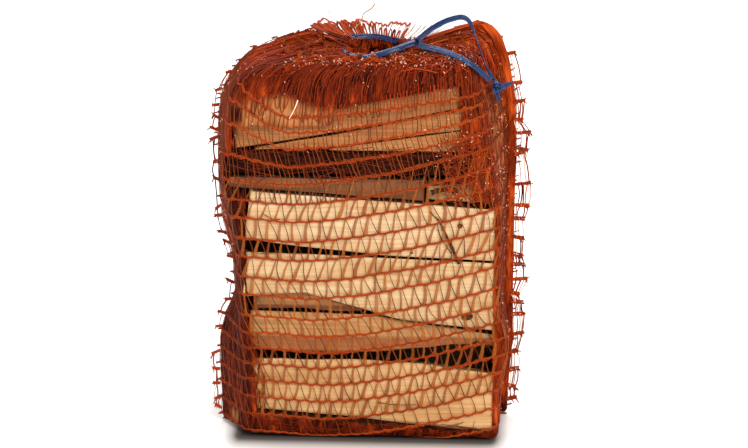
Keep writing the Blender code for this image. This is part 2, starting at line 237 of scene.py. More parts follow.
def split_spruce():
    """Split spruce, air dried: growth rings run out along the face as fine tan lines, and the torn
    fibres make it rough and matt."""
    made, tree = new_material("split_spruce")
    place = add_node(tree, "ShaderNodeAttribute", attribute_name="grain_place")
    tone = add_node(tree, "ShaderNodeAttribute", attribute_name="tone")
    waver = stretched_noise(tree, place, (5, 70, 70), 3.0)
    flat = add_node(
        tree, "ShaderNodeMapping", {"Vector": place.outputs["Vector"], "Scale": (0.02, 1, 1)}
    )
    drift = add_node(
        tree, "ShaderNodeVectorMath", {0: waver.outputs["Color"], "Scale": 0.014}, operation="SCALE"
    )
    shifted = add_node(tree, "ShaderNodeVectorMath", {0: flat, 1: drift}, operation="ADD")
    radius = add_node(tree, "ShaderNodeVectorMath", {0: shifted}, operation="LENGTH")
    turns = add_node(
        tree, "ShaderNodeMath", {0: radius.outputs["Value"], 1: 1 / RING_WIDTH}, operation="MULTIPLY"
    )
    ring = add_node(tree, "ShaderNodeMath", {0: turns}, operation="FRACT")
    fibres = stretched_noise(tree, place, (14, 700, 700), 4.0)
    blotches = stretched_noise(tree, place, (12, 60, 60), 3.0)
    wood = ramp(tree, ring, ((0.0, "#EFE4CC"), (0.55, "#ECDEC2"), (0.9, "#E6D4B0"), (0.98, "#DCC29A")))
    shade = ramp(tree, blotches.outputs["Fac"], ((0.38, "#FFFFFF"), (0.72, "#DDBB8C")))
    streaks = ramp(tree, fibres.outputs["Fac"], ((0.38, "#FFFFFF"), (0.7, "#CFA26E")))
    colour = wood.outputs["Color"]
    # Each stick's tone attribute is multiplied in last: the wood's own tone, with painted light and shade on
    # it
    for factor, layer in ((0.8, shade), (0.45, streaks), (1.0, tone)):
        mixed = add_node(
            tree, "ShaderNodeMix", {"Factor": factor, 6: colour, 7: layer.outputs["Color"]},
            data_type="RGBA", blend_type="MULTIPLY",
        )
        colour = mixed.outputs[2]
    close_material(tree, colour, 0.72, height=fibres.outputs["Fac"], bump=0.5, distance=0.0006)
    return made


def spruce_bark():
    """Spruce bark: dark brown scales with pale dust in the cracks, quite matt."""
    made, tree = new_material("spruce_bark")
    place = add_node(tree, "ShaderNodeAttribute", attribute_name="grain_place")
    scaled = add_node(
        tree, "ShaderNodeMapping", {"Vector": place.outputs["Vector"], "Scale": (60, 200, 200)}
    )
    scales = add_node(tree, "ShaderNodeTexVoronoi", {"Vector": scaled, "Scale": 1.0}, feature="F1")
    dust = add_node(tree, "ShaderNodeTexNoise", {"Vector": scaled, "Scale": 3.0, "Detail": 5.0})
    summed = add_node(
        tree, "ShaderNodeMath", {0: scales.outputs["Distance"], 1: dust.outputs["Fac"]}, operation="MULTIPLY"
    )
    colour = ramp(tree, summed, ((0.05, "#1A0703"), (0.3, "#36140A"), (0.6, "#582C1A")))
    close_material(
        tree, colour.outputs["Color"], 0.9, height=summed, bump=0.8, distance=0.002,
        Specular_IOR_Level=0.1,
    )
    return made


def knitted_polyethylene(name, deep, bright, alpha, roughness):
    """Stretched polyethylene film tape, knitted and glossy: from its deep colour to its bright one by a fine
    speckle and by the shade attribute, which is partly a tone at random and partly painted light and shade,
    as on the rows round the sack's sides.
    """
    made, tree = new_material(name)
    shade = add_node(tree, "ShaderNodeAttribute", attribute_name="shade")
    place = add_node(tree, "ShaderNodeTexCoord")
    speckle = add_node(
        tree, "ShaderNodeTexNoise", {"Vector": place.outputs["Object"], "Scale": 900.0, "Detail": 2.0}
    )
    both = add_node(
        tree, "ShaderNodeMath", {0: shade.outputs["Fac"], 1: speckle.outputs["Fac"]}, operation="ADD"
    )
    half = add_node(tree, "ShaderNodeMath", {0: both, 1: 0.5}, operation="MULTIPLY")
    colour = ramp(tree, half, ((0.2, deep), (0.8, bright)))
    close_material(
        tree, colour.outputs["Color"], roughness, height=speckle.outputs["Fac"], bump=0.25,
        distance=0.0002, Alpha=alpha, IOR=1.5, Specular_IOR_Level=0.08,
    )
    return made


def bunched_knit(name, deep, middle, bright):
    """Layers of the knit bunched on each other: dark between the threads and brighter along them, open where
    fewer layers lie, as the cover attribute says, lighter where wood lies close behind, as the tan attribute
    says, and painted darker or lighter by the painted shade and light that its own attribute holds."""
    made, tree = new_material(name)
    place = add_node(tree, "ShaderNodeAttribute", attribute_name="weave_place")
    cover = add_node(tree, "ShaderNodeAttribute", attribute_name="cover")
    # Threads about 1 mm wide, which run up the cloth
    threads = stretched_noise(tree, place, (0.85, 0.12, 1), 3.0)
    folds = stretched_noise(tree, place, (0.12, 0.03, 1), 2.0)
    limit = add_node(
        tree, "ShaderNodeMapRange",
        {"Value": cover.outputs["Fac"], "From Min": 0.0, "From Max": 1.0, "To Min": 0.72, "To Max": 0.1},
    )
    above = add_node(
        tree, "ShaderNodeMath", {0: threads.outputs["Fac"], 1: limit.outputs["Result"]}, operation="SUBTRACT"
    )
    layers = add_node(tree, "ShaderNodeMath", {0: above, 1: 12.0}, operation="MULTIPLY", use_clamp=True)
    mixed = add_node(
        tree, "ShaderNodeMath",
        {0: threads.outputs["Fac"], 1: 0.65, 2: folds.outputs["Fac"]}, operation="MULTIPLY_ADD",
    )
    # Painted shade and light: darker in the hollows, the gathered strip, the holes, at the foot and low at
    # the left, and lighter where the value is below 0
    painted_shade = add_node(tree, "ShaderNodeAttribute", attribute_name="painted_shade")
    lit = add_node(tree, "ShaderNodeMath", {0: mixed, 1: painted_shade.outputs["Fac"]}, operation="SUBTRACT")
    tone = add_node(tree, "ShaderNodeMath", {0: lit, 1: 0.6}, operation="MULTIPLY")
    colour = ramp(tree, tone, ((0.36, deep), (0.5, middle), (0.66, bright)))
    tan = add_node(tree, "ShaderNodeAttribute", attribute_name="tan")
    behind = ramp(tree, mixed, ((0.3, "#74381A"), (0.9, "#B87A48")))
    shown = add_node(
        tree, "ShaderNodeMix",
        {"Factor": tan.outputs["Fac"], 6: colour.outputs["Color"], 7: behind.outputs["Color"]},
        data_type="RGBA",
    )
    close_material(
        tree, shown.outputs[2], 0.5, height=threads.outputs["Fac"], bump=0.9,
        distance=0.0012, Alpha=layers, IOR=1.5, Specular_IOR_Level=0.04,
    )
    return made


def blue_film():
    """Blue polyethylene film drawn to a tape: streaked along its length, partly with its own darker and
    lighter streaks and partly with painted highlights along the creases.
    """
    made, tree = new_material("blue_film_tape")
    across = add_node(tree, "ShaderNodeAttribute", attribute_name="across")
    place = add_node(tree, "ShaderNodeTexCoord")
    wobble = add_node(
        tree, "ShaderNodeTexNoise", {"Vector": place.outputs["Object"], "Scale": 90.0, "Detail": 2.0}
    )
    both = add_node(
        tree, "ShaderNodeMath", {0: across.outputs["Fac"], 1: 9.0, 2: wobble.outputs["Fac"]},
        operation="MULTIPLY_ADD",
    )
    streak = add_node(
        tree, "ShaderNodeTexNoise", {"W": both, "Scale": 1.0, "Detail": 3.0}, noise_dimensions="1D"
    )
    colour = ramp(
        tree, streak.outputs["Fac"], ((0.3, "#030E28"), (0.55, "#082450"), (0.76, "#4478BA"))
    )
    close_material(
        tree, colour.outputs["Color"], 0.22, height=streak.outputs["Fac"], bump=0.5,
        distance=0.0004, IOR=1.5, Specular_IOR_Level=0.3,
    )
    return made


def dry_straw():
    """Dry straw and loose fibres caught in the net: from grey to tan and pale by their shade."""
    made, tree = new_material("dry_straw")
    shade = add_node(tree, "ShaderNodeAttribute", attribute_name="shade")
    place = add_node(tree, "ShaderNodeTexCoord")
    mottle = add_node(tree, "ShaderNodeTexNoise", {"Vector": place.outputs["Object"], "Scale": 300.0})
    both = add_node(
        tree, "ShaderNodeMath", {0: mottle.outputs["Fac"], 1: 0.3, 2: shade.outputs["Fac"]},
        operation="MULTIPLY_ADD",
    )
    colour = ramp(tree, both, ((0.1, "#6A5A4A"), (0.3, "#A8783C"), (0.7, "#C8A468"), (1.0, "#F2E4C8")))
    close_material(tree, colour.outputs["Color"], 0.5)
    return made


# Meshes


def link(item):
    """Put an object in the scene."""
    bpy.context.scene.collection.objects.link(item)
    return item


def add_mesh(name, points, faces, material, smooth=True):
    """A mesh piece at the origin from points in metres and faces."""
    mesh = bpy.data.meshes.new(name)
    mesh.from_pydata(points, [], faces)
    mesh.materials.append(material)
    if smooth:
        mesh.shade_smooth()
    return link(bpy.data.objects.new(name, mesh))


def mark(mesh, name, values, kind="FLOAT", key="value"):
    """Give every point of a mesh its value of an attribute."""
    mesh.attributes.new(name, kind, "POINT").data.foreach_set(key, values)


def flat_list(vectors):
    """The parts of all vectors in one list."""
    return [part for vector in vectors for part in vector]


def settle(piece, slot, *nodes):
    """Attach a finished piece to the body that it rides on, and hide the CAD parts that it stands for. The
    slot, what it is made of, is not used.
    """
    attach(piece, BODY)
    if nodes:
        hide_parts(*nodes)


class Guide:
    """Runs of points in metres, with an outward direction, a width and a shade at each point."""

    def __init__(self):
        self.points = []
        self.edges = []
        self.outward = []
        self.width = []
        self.shade = []

    def add(self, places, outward, widths, shades):
        """One run. Places are in millimetres, and single values hold all along it."""
        count = len(places)
        first = len(self.points)
        self.points += [place * MM for place in places]
        self.edges += [(first + i, first + i + 1) for i in range(count - 1)]
        self.outward += outward if isinstance(outward, list) else [outward] * count
        self.width += [w * MM for w in (widths if isinstance(widths, list) else [widths] * count)]
        self.shade += shades if isinstance(shades, list) else [shades] * count

    def grow(self, name, tree, values):
        """The plain mesh that a Geometry Nodes tree makes along the runs."""
        mesh = bpy.data.meshes.new(name + "_guide")
        mesh.from_pydata(self.points, self.edges, [])
        mark(mesh, "outward", flat_list(self.outward), "FLOAT_VECTOR", "vector")
        mark(mesh, "width", self.width)
        mark(mesh, "shade", self.shade)
        guide = link(bpy.data.objects.new(name + "_guide", mesh))
        modifier = guide.modifiers.new(tree.name, "NODES")
        modifier.node_group = tree
        for item in tree.interface.items_tree:
            if item.item_type == "SOCKET" and item.in_out == "INPUT" and item.name in values:
                modifier[item.identifier] = values[item.name]
        graph = bpy.context.evaluated_depsgraph_get()
        made = bpy.data.meshes.new_from_object(guide.evaluated_get(graph), depsgraph=graph)
        made.name = name
        guide.modifiers.clear()
        bpy.data.objects.remove(guide, do_unlink=True)
        return link(bpy.data.objects.new(name, made))


def geometry_tree(name, sockets):
    """A Geometry Nodes tree with its named inputs, and its input node's outputs."""
    tree = bpy.data.node_groups.new(name, "GeometryNodeTree")
    tree.is_modifier = True
    tree.interface.new_socket("Geometry", in_out="INPUT", socket_type="NodeSocketGeometry")
    for socket, kind in sockets:
        tree.interface.new_socket(socket, in_out="INPUT", socket_type=kind)
    tree.interface.new_socket("Geometry", in_out="OUTPUT", socket_type="NodeSocketGeometry")
    entry = add_node(tree, "NodeGroupInput")
    return tree, entry.outputs


def end_tree(tree, geometry, material):
    """Realize Instances and Set Material, which end every tree."""
    shaded = add_node(tree, "GeometryNodeSetShadeSmooth", {"Geometry": geometry})
    realized = add_node(tree, "GeometryNodeRealizeInstances", {"Geometry": shaded})
    finished = add_node(
        tree, "GeometryNodeSetMaterial", {"Geometry": realized, "Material": material}
    )
    add_node(tree, "NodeGroupOutput", {"Geometry": finished})


def knitted_row_tree():
    """Two strands that turn round each other along each run: a knitted row seen from a step away."""
    tree, given = geometry_tree("knitted_row", (
        ("Strand Radius", "NodeSocketFloat"), ("Twist Radius", "NodeSocketFloat"),
        ("Pitch", "NodeSocketFloat"), ("Step", "NodeSocketFloat"), ("Material", "NodeSocketMaterial"),
    ))
    curve = add_node(tree, "GeometryNodeMeshToCurve", {"Mesh": given["Geometry"]})
    spaced = add_node(
        tree, "GeometryNodeResampleCurve", {"Curve": curve, "Length": given["Step"]}, mode="LENGTH"
    )
    along = add_node(tree, "GeometryNodeSplineParameter")
    turns = add_node(
        tree, "ShaderNodeMath", {0: along.outputs["Length"], 1: given["Pitch"]}, operation="DIVIDE"
    )
    angle = add_node(tree, "ShaderNodeMath", {0: turns, 1: 2 * math.pi}, operation="MULTIPLY")
    outward = add_node(tree, "GeometryNodeInputNamedAttribute", {"Name": "outward"}, data_type="FLOAT_VECTOR")
    tangent = add_node(tree, "GeometryNodeInputTangent")
    sideways = add_node(
        tree, "ShaderNodeVectorMath", {0: outward.outputs["Attribute"], 1: tangent}, operation="CROSS_PRODUCT"
    )
    profile = add_node(
        tree, "GeometryNodeCurvePrimitiveCircle", {"Resolution": 4, "Radius": given["Strand Radius"]}
    )
    strands = []
    for half_turn in (0.0, math.pi):
        turned = add_node(tree, "ShaderNodeMath", {0: angle, 1: half_turn}, operation="ADD")
        across = add_node(tree, "ShaderNodeMath", {0: turned}, operation="COSINE")
        out = add_node(tree, "ShaderNodeMath", {0: turned}, operation="SINE")
        across_part = add_node(
            tree, "ShaderNodeVectorMath", {0: sideways, "Scale": across}, operation="SCALE"
        )
        out_part = add_node(
            tree, "ShaderNodeVectorMath", {0: outward.outputs["Attribute"], "Scale": out}, operation="SCALE"
        )
        both = add_node(tree, "ShaderNodeVectorMath", {0: across_part, 1: out_part}, operation="ADD")
        offset = add_node(
            tree, "ShaderNodeVectorMath", {0: both, "Scale": given["Twist Radius"]}, operation="SCALE"
        )
        moved = add_node(tree, "GeometryNodeSetPosition", {"Geometry": spaced, "Offset": offset})
        strands.append(add_node(
            tree, "GeometryNodeCurveToMesh", {"Curve": moved, "Profile Curve": profile, "Fill Caps": True}
        ))
    joined = add_node(tree, "GeometryNodeJoinGeometry", {0: strands[0]})
    tree.links.new(strands[1].outputs[0], joined.inputs[0])
    end_tree(tree, joined, given["Material"])
    return tree


def flat_tape_tree():
    """A flat tape along each run, as wide as its points say, facing the way that they face."""
    tree, given = geometry_tree("flat_tape", (
        ("Thinness", "NodeSocketFloat"), ("Material", "NodeSocketMaterial"),
    ))
    curve = add_node(tree, "GeometryNodeMeshToCurve", {"Mesh": given["Geometry"]})
    outward = add_node(tree, "GeometryNodeInputNamedAttribute", {"Name": "outward"}, data_type="FLOAT_VECTOR")
    width = add_node(tree, "GeometryNodeInputNamedAttribute", {"Name": "width"}, data_type="FLOAT")
    facing = add_node(
        tree, "GeometryNodeSetCurveNormal", {"Curve": curve, "Normal": outward.outputs["Attribute"]},
        mode="FREE",
    )
    profile = add_node(
        tree, "GeometryNodeCurvePrimitiveQuadrilateral", {"Width": given["Thinness"], "Height": 1.0}
    )
    tape = add_node(
        tree, "GeometryNodeCurveToMesh",
        {"Curve": facing, "Profile Curve": profile, "Scale": width.outputs["Attribute"], "Fill Caps": True},
    )
    end_tree(tree, tape, given["Material"])
    return tree


# The cloth's surface


def corner_arc(corner, before, after, radius, steps=5):
    """Points that round a corner of an outline, from the side before it to the side after it."""
    start = corner + (before - corner).normalized() * radius
    end = corner + (after - corner).normalized() * radius
    points = []
    for step in range(steps):
        share = step / (steps - 1)
        points.append(start.lerp(corner, share).lerp(corner.lerp(end, share), share))
    return points


def half_outline(level, back):
    """One panel's outline at a level, from the left seam to the right seam, with its lengths."""
    (_, z, front_left, front_right, seam_right, back_right, back_left, seam_left,
     front_y, back_y, left_seam_y, right_seam_y, radius, left_lift, right_lift) = level
    left_x, right_x, y = (back_left, back_right, back_y) if back else (front_left, front_right, front_y)
    start = Vector((seam_left, left_seam_y, z + left_lift))
    end = Vector((seam_right, right_seam_y, z + right_lift))
    left = Vector((left_x, y, z))
    right = Vector((right_x, y, z))
    hollow_left = left.lerp(start, EAR_MIDDLE)
    hollow_right = right.lerp(end, EAR_MIDDLE)
    hollow_left.z = z + EAR_HOLLOW * left_lift
    hollow_right.z = z + EAR_HOLLOW * right_lift
    points = [
        start, hollow_left, *corner_arc(left, hollow_left, right, radius),
        *corner_arc(right, left, hollow_right, radius), hollow_right, end,
    ]
    lengths = [0.0]
    for one, other in zip(points, points[1:]):
        lengths.append(lengths[-1] + (other - one).length)
    return points, lengths


def on_outline(outline, s):
    """The place at a share s of an outline's length."""
    points, lengths = outline
    reach = min(1.0, max(0.0, s)) * lengths[-1]
    for i in range(len(points) - 1):
        if reach <= lengths[i + 1]:
            span = max(1e-9, lengths[i + 1] - lengths[i])
            return points[i].lerp(points[i + 1], (reach - lengths[i]) / span)
    return points[-1].copy()


OUTLINES = {back: [half_outline(level, back) for level in SACK_LEVELS] for back in (False, True)}
PANEL_WIDTH = 334.0


def gather_folds(s, t, back):
    """How far the cloth puckers up or down where the drawstring gathers it."""
    strength = smooth_step(t, 290, 308) * (1 - 0.6 * smooth_step(t, 318, 330))
    wave = math.sin(2 * math.pi * (11 * s + 0.4 * back)) + 0.6 * math.sin(2 * math.pi * (25 * s + 0.2))
    return 2.0 * strength * wave


def cloth_point(s, t, back):
    """The net's surface in millimetres: s runs from the left seam, at 0, to the right one, at 1,
    and past them into the seam flaps. t runs up the cloth."""
    outlines = OUTLINES[back]
    for i in range(len(SACK_LEVELS) - 1):
        if t <= SACK_LEVELS[i + 1][0] or i == len(SACK_LEVELS) - 2:
            low, high = SACK_LEVELS[i][0], SACK_LEVELS[i + 1][0]
            share = min(1.0, max(0.0, (t - low) / (high - low)))
            place = on_outline(outlines[i], s).lerp(on_outline(outlines[i + 1], s), share)
            break
    place.z += gather_folds(s, t, back)
    place.z += 5.0 * smooth_step(t, 322, 338) * smooth_step(place.y, 0, 30)
    if s < 0:
        place.x += s * PANEL_WIDTH
    elif s > 1:
        place.x += (s - 1) * PANEL_WIDTH
    return place


def cloth_normal(s, t, back):
    """The direction out of the bag at a place on the cloth, read a little inside the seams."""
    ds, dt = 0.01, 2.0
    inside = min(0.985, max(0.015, s))
    along = cloth_point(inside + ds, t, back) - cloth_point(inside - ds, t, back)
    up = cloth_point(inside, t + dt, back) - cloth_point(inside, t - dt, back)
    out = along.cross(up)
    if back:
        out.negate()
    return out.normalized() if out.length > 1e-6 else Vector((0, -1, 0))


def row_rise(s, base, back):
    """How far a knitted row lies above its lowest place: it climbs to the right seam, and a
    little to the left one. Rows of the back sag evenly."""
    if back:
        return 16.0 * abs(s - 0.45) ** 1.5 * (1 - smooth_step(base, 220, 330))
    climb = 0.0
    if s > RIGHT_RISE_START:
        right = (s - RIGHT_RISE_START) / RIGHT_RISE_SPAN
        climb = RIGHT_RISE * (right ** RIGHT_RISE_POWER if right < 1 else 1.0 + 0.9 * (right - 1.0))
    lift = 0.0
    if s < RIGHT_RISE_START:
        left = (RIGHT_RISE_START - s) / LEFT_RISE_SPAN
        lift = (3.0 + 20.0 * smooth_step(base, 205, 245)) * (left ** 1.2 if left < 1 else 0.6 + 0.4 * left)
    return climb * (1 - smooth_step(base, 215, 325)) + lift * (1 - smooth_step(base, 262, 310))


def row_place(s, number, back):
    """Where a row passes a given s, with the small waver of a knitted row under tension."""
    base = ROW_HEIGHTS[number]
    waver = 0.9 * noise.noise(Vector((s * 14, base * 0.13 + 7 * back, number * 0.7)))
    waver += 3.0 * smooth_step(base, 292, 305) * noise.noise(Vector((s * 22, number * 1.3, 2.0 + back)))
    # A scallop hangs between every two tapes, deepest where the net is pulled up or bunched
    depth = 0.7 + 0.9 * smooth_step(base, 205, 235) + 0.6 * (1 - smooth_step(base, 60, 90))
    scallop = depth * abs(math.sin(math.pi * s * ZIGZAGS))
    return base + row_rise(s, base, back) + waver - scallop


def row_shows(number, back):
    """Rows are lost in the folds of the front's gathered strip, and end lower at the front's hem."""
    base = ROW_HEIGHTS[number]
    return back or not (262 < base < 300 or base > FRONT_TOP_EDGE)


# Net


def net_piece(guide, name, tree, thinness, material):
    """A finished piece of the net: flat tapes along a guide's runs."""
    piece = guide.grow(name, tree, {"Thinness": thinness, "Material": material})
    settle(piece, "net", "net_sack")


def row_run(chance, number, back):
    """A row's places and outward directions, from flap to flap, and how far each faces ahead."""
    left_end = -chance.uniform(0.004, 0.010)
    right_end = 1 + chance.uniform(0.016, 0.030)
    if ROW_HEIGHTS[number] > FRONT_TOP_EDGE:
        left_end, right_end = HEM_SPAN
    places = []
    outward = []
    facing = []
    for step in range(ROW_STEPS + 1):
        s = left_end + (right_end - left_end) * step / ROW_STEPS
        t = row_place(s, number, back)
        if UNDER_EDGE <= t <= TOP_EDGE:
            places.append(cloth_point(s, t, back))
            outward.append(cloth_normal(s, t, back))
            facing.append(band(s, 0.15, 0.2, 0.80, 0.84))
    return places, outward, facing


def net_rows(name, back, trees, finishes):
    """The knitted rows of one panel, and the film stretched out beside each of them."""
    chance = random.Random(name)
    rows = Guide()
    film = Guide()
    for number in range(len(ROW_HEIGHTS)):
        if not row_shows(number, back):
            continue
        places, outward, facing = row_run(chance, number, back)
        if len(places) > 2:
            bright = chance.uniform(0.45, 0.7)
            # Each row gets a painted shade where it turns round the sack's sides, darker there than where it
            # faces ahead
            rows.add(places, outward, 1.0, [bright * (0.25 + 0.75 * ahead) for ahead in facing])
            sunk = [place - out * 0.3 for place, out in zip(places, outward)]
            film.add(sunk, outward, [chance.uniform(1.6, 3.4) for _ in places], chance.uniform(0.3, 0.9))
    knitted = rows.grow(name, trees[0], {
        "Strand Radius": 0.47 * MM, "Twist Radius": 0.42 * MM, "Pitch": 4.6 * MM, "Step": 1.7 * MM,
        "Material": finishes[0],
    })
    settle(knitted, "net", "net_sack")
    net_piece(film, name + "_film", trees[1], 0.04, finishes[1])


def weft_leg(guide, chance, back, low_row, s_bottom, s_top, width, turn, shade):
    """One leg of a tape's zigzag, from a row to the one above it."""
    t_bottom = row_place(s_bottom, low_row, back)
    t_top = row_place(s_top, low_row + 1, back)
    if t_bottom < UNDER_EDGE or t_top > TOP_EDGE:
        return
    bend = chance.uniform(-0.10, 0.10) / ZIGZAGS
    bulge = chance.uniform(0.1, 0.4)
    rise = cloth_point(s_top, t_top, back) - cloth_point(s_bottom, t_bottom, back)
    places = []
    outward = []
    widths = []
    for step in range(5):
        share = step / 4
        bow = 4 * share * (1 - share)
        s = s_bottom + (s_top - s_bottom) * share + bend * bow
        t = t_bottom + (t_top - t_bottom) * share
        out = cloth_normal(s, t, back)
        places.append(cloth_point(s, t, back) + out * bulge * bow)
        outward.append((out + rise.normalized().cross(out) * turn).normalized())
        widths.append(width * (1.15 - 0.45 * share))
    guide.add(places, outward, widths, shade)


def net_wefts(name, back, tree, material, wide):
    """The tapes that zigzag between neighbouring rows: every second leg is wide and flat."""
    chance = random.Random(name)
    guide = Guide()
    for number in range(len(ROW_HEIGHTS) - 1):
        if not (row_shows(number, back) and row_shows(number + 1, back)):
            continue
        gathered = smooth_step(ROW_HEIGHTS[number], GATHER_START, GATHER_START + 25)
        base = ROW_HEIGHTS[number]
        # Tapes all lean one way between two rows of the upper front, and the other way low down
        shear = 0.38 * (base in SLANTED_ROWS) - 0.1 * (base < 60) + 0.12 * noise.noise(
            Vector((number * 0.9, 3.1 * back, 0.5))
        )
        # Layers of the net lie over each other higher up, so that more threads show there
        legs = ZIGZAGS * (2 if wide or back or base < 190 else 5)
        for leg in range(legs):
            if (leg % 2 == 0) != wide:
                continue
            middle = (leg + 0.5) / legs
            # Wide tapes show only over the front's sticks, below the gathered strip
            if not back and (base < 2 or wide and not (0.18 < middle < 0.81 and 16 < base < 200)):
                continue
            slant = shear + 0.22 * noise.noise(Vector((middle * 5, number * 2.3, 1.0 + back)))
            lean = (0.7 if wide else -0.7) / (2 * ZIGZAGS) + slant / ZIGZAGS
            lean *= 1 - 0.6 * gathered
            s_top = min(1.0, max(0.0, middle + lean / 2 + 0.12 * chance.uniform(-1, 1) / ZIGZAGS))
            s_bottom = min(1.0, max(0.0, middle - lean / 2 + 0.12 * chance.uniform(-1, 1) / ZIGZAGS))
            width = chance.uniform(1.5, 3.0) if wide else chance.uniform(0.5, 0.85)
            width *= 1 - 0.5 * max(gathered, wide * smooth_step(base, 180, 190))
            turn = chance.uniform(-0.5, 0.5)
            weft_leg(guide, chance, back, number, s_bottom, s_top, width, turn, chance.random())
    net_piece(guide, name, tree, 0.06 if wide else 0.3, material)


# Where the gathered strip ends above the topmost front stick
STRIP_EDGE = ((-130, 256), (-101, 264), (-62, 272), (-38, 262), (-31, 260), (72, 281), (130, 286))
FLAP_END = 1.018
# Where the front panel turns round to the sack's right side
RIGHT_SIDE_START = 0.83
# At the front's left: the hollow in the side, painted dark as shade, a stick's pale end low down, and the
# hollow above the fan of sticks, also painted dark as shade, each as left, right, low and high
HOLE = (-118, -97, 60, 106)
STUB = (-112, -102, 2, 19)
SMALL_HOLE = (-107, -91, 247, 270)
# The bunched sheet's lowest height and the steps of its grid
MASS_FOOT = 2
MASS_COLUMNS = 250
MASS_STEP = 3.0


def strip_edge_at(x):
    """The height at x where the front's gathered strip ends."""
    for (x0, z0), (x1, z1) in zip(STRIP_EDGE, STRIP_EDGE[1:]):
        if x <= x1:
            return z0 + (z1 - z0) * (x - x0) / (x1 - x0)
    return STRIP_EDGE[-1][1]


STICK_BOXES = [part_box(name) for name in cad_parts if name.startswith("kindling_")]


def end_behind(place):
    """How much of a stick's end shows through a side of the sack, from 0 to 1."""
    shown = 0.0
    for low, high in STICK_BOXES:
        inside_y = min(place.y - low[1] / MM, high[1] / MM - place.y)
        inside_z = min(place.z - low[2] / MM, high[2] / MM - place.z)
        shown = max(shown, smooth_step(min(inside_y, inside_z), 0.5, 2.5))
    return 0.62 * shown * (1 - smooth_step(place.z, 262, 276))


def wood_behind(s, place, back):
    """How much wood shows through bunched knit, from 0 to 1: stick ends at the sack's sides, and
    the topmost stick below the gathered strip."""
    if back:
        # The two sides of the back panel, each between the back face and the seam
        sides = max(band(s, 0.02, 0.04, 0.15, 0.18), band(s, 0.80, 0.83, 0.95, 0.97))
        return end_behind(place) * sides
    if s > RIGHT_SIDE_START:
        return end_behind(place) * band(s, 0.84, 0.87, 0.96, 0.98)
    edge = strip_edge_at(place.x)
    heights = band(place.z, 246, 254, edge - 3, edge + 5)
    return 0.95 * heights * band(place.x, -108, -96, -34, -18)


def box_share(place, box):
    """From 0 outside a box in x and z to 1 well inside it."""
    left, right, low, high = box
    inside = min(place.x - left, right - place.x, (place.z - low) / 2, (high - place.z) / 2)
    return smooth_step(inside, 0, 4)


def knit_cover(s, t, place, back):
    """How closely bunched knit hides what is behind it, from 0 to 1."""
    foot_top = 17 - 10 * smooth_step(place.x, -90, 90) * (not back)
    foot = 1 - smooth_step(t, foot_top - 2.5, foot_top + 2.5)
    # Fewer layers lie in the right ear
    ear = 1 - 0.35 * (smooth_step(place.x, 80, 92) * smooth_step(t, 288, 298))
    if back:
        sides = max(1 - smooth_step(place.x, -112, -101), smooth_step(place.x, 80, 90))
        seam = max(1 - smooth_step(s, 0.02, 0.05), smooth_step(s, 0.95, 0.98))
        return max(smooth_step(t, 244, 256) * ear, sides * ear, seam, 0.5 * foot)
    edge = strip_edge_at(place.x)
    top = max(smooth_step(t, 292, 298), smooth_step(place.z, edge - 1, edge + 5)) * ear
    # The left strip, which is wider above the shaded stick and reaches to the sticks' ends below
    left = 1 - smooth_step(s - 0.035 * smooth_step(t, 222, 230), 0.14, 0.19)
    left = max(left, box_share(place, SMALL_HOLE))
    left = max(left, 0.95 * (1 - smooth_step(place.x, -95, -90)) * (1 - smooth_step(place.z, 194, 206)))
    right = smooth_step(place.x, 98.5, 102)
    right *= 1 - 0.3 * smooth_step(t, 262, 276)
    # The right shoulder is bunched beside the offcut and the fan of sticks
    upper = smooth_step(place.z, 228, 240)
    shoulder = smooth_step(place.x, 74, 92) * smooth_step(place.z, 188, 200) * (1 - upper)
    shoulder = max(shoulder, smooth_step(place.x, 69, 77) * upper)
    return max(top, left, right, 0.85 * shoulder, 0.9 * foot, wood_behind(s, place, back))


def knit_painted_shade(s, t, place, back):
    """How much darker bunched knit is painted at a place than elsewhere, as painted shade: in the gathered
    strip and its hollows, low down and in the recess at the left, at the right seam and its flap, at the foot
    and in the holes. It is below 0 where light is painted on, at the sack's right side and higher up at the
    left."""
    strip = band(t, 250, 266, 288, 300) * smooth_step(place.x, -90, -40)
    hollow = max(0.0, noise.noise(Vector((s * PANEL_WIDTH * 0.06, t * 0.05, 21.0 + back))))
    shaded = smooth_step(-place.x, 88, 100) * (1 - smooth_step(t, 105, 140))
    recess = smooth_step(s, 0.09, 0.13) * smooth_step(-place.x, 86, 94) * (1 - smooth_step(t, 205, 225))
    shaded = max(shaded, 1.3 * recess, 0.7 * (1 - smooth_step(t, 12, 20)))
    shaded += 0.8 * smooth_step(s, 0.99, 1.0) * (1 - smooth_step(t, 235, 262))
    lit = smooth_step(s, 0.80, 0.86) * (0.15 + 0.03 * smooth_step(t, 240, 270))
    lit += 0.04 * (1 - smooth_step(s, 0.12, 0.16)) * smooth_step(t, 120, 150)
    holes = 0.0 if back else 0.35 * box_share(place, HOLE) + 0.4 * box_share(place, SMALL_HOLE)
    return 0.13 * strip + 0.3 * hollow * smooth_step(t, 262, 292) + 0.21 * shaded - lit + holes


def knit_tan(s, place, back):
    """How much of the wood behind it bunched knit shows at a place, from 0 to 1."""
    wood = wood_behind(s, place, back)
    if back:
        return wood
    return max(wood * (1 - box_share(place, SMALL_HOLE)), 0.85 * box_share(place, STUB))


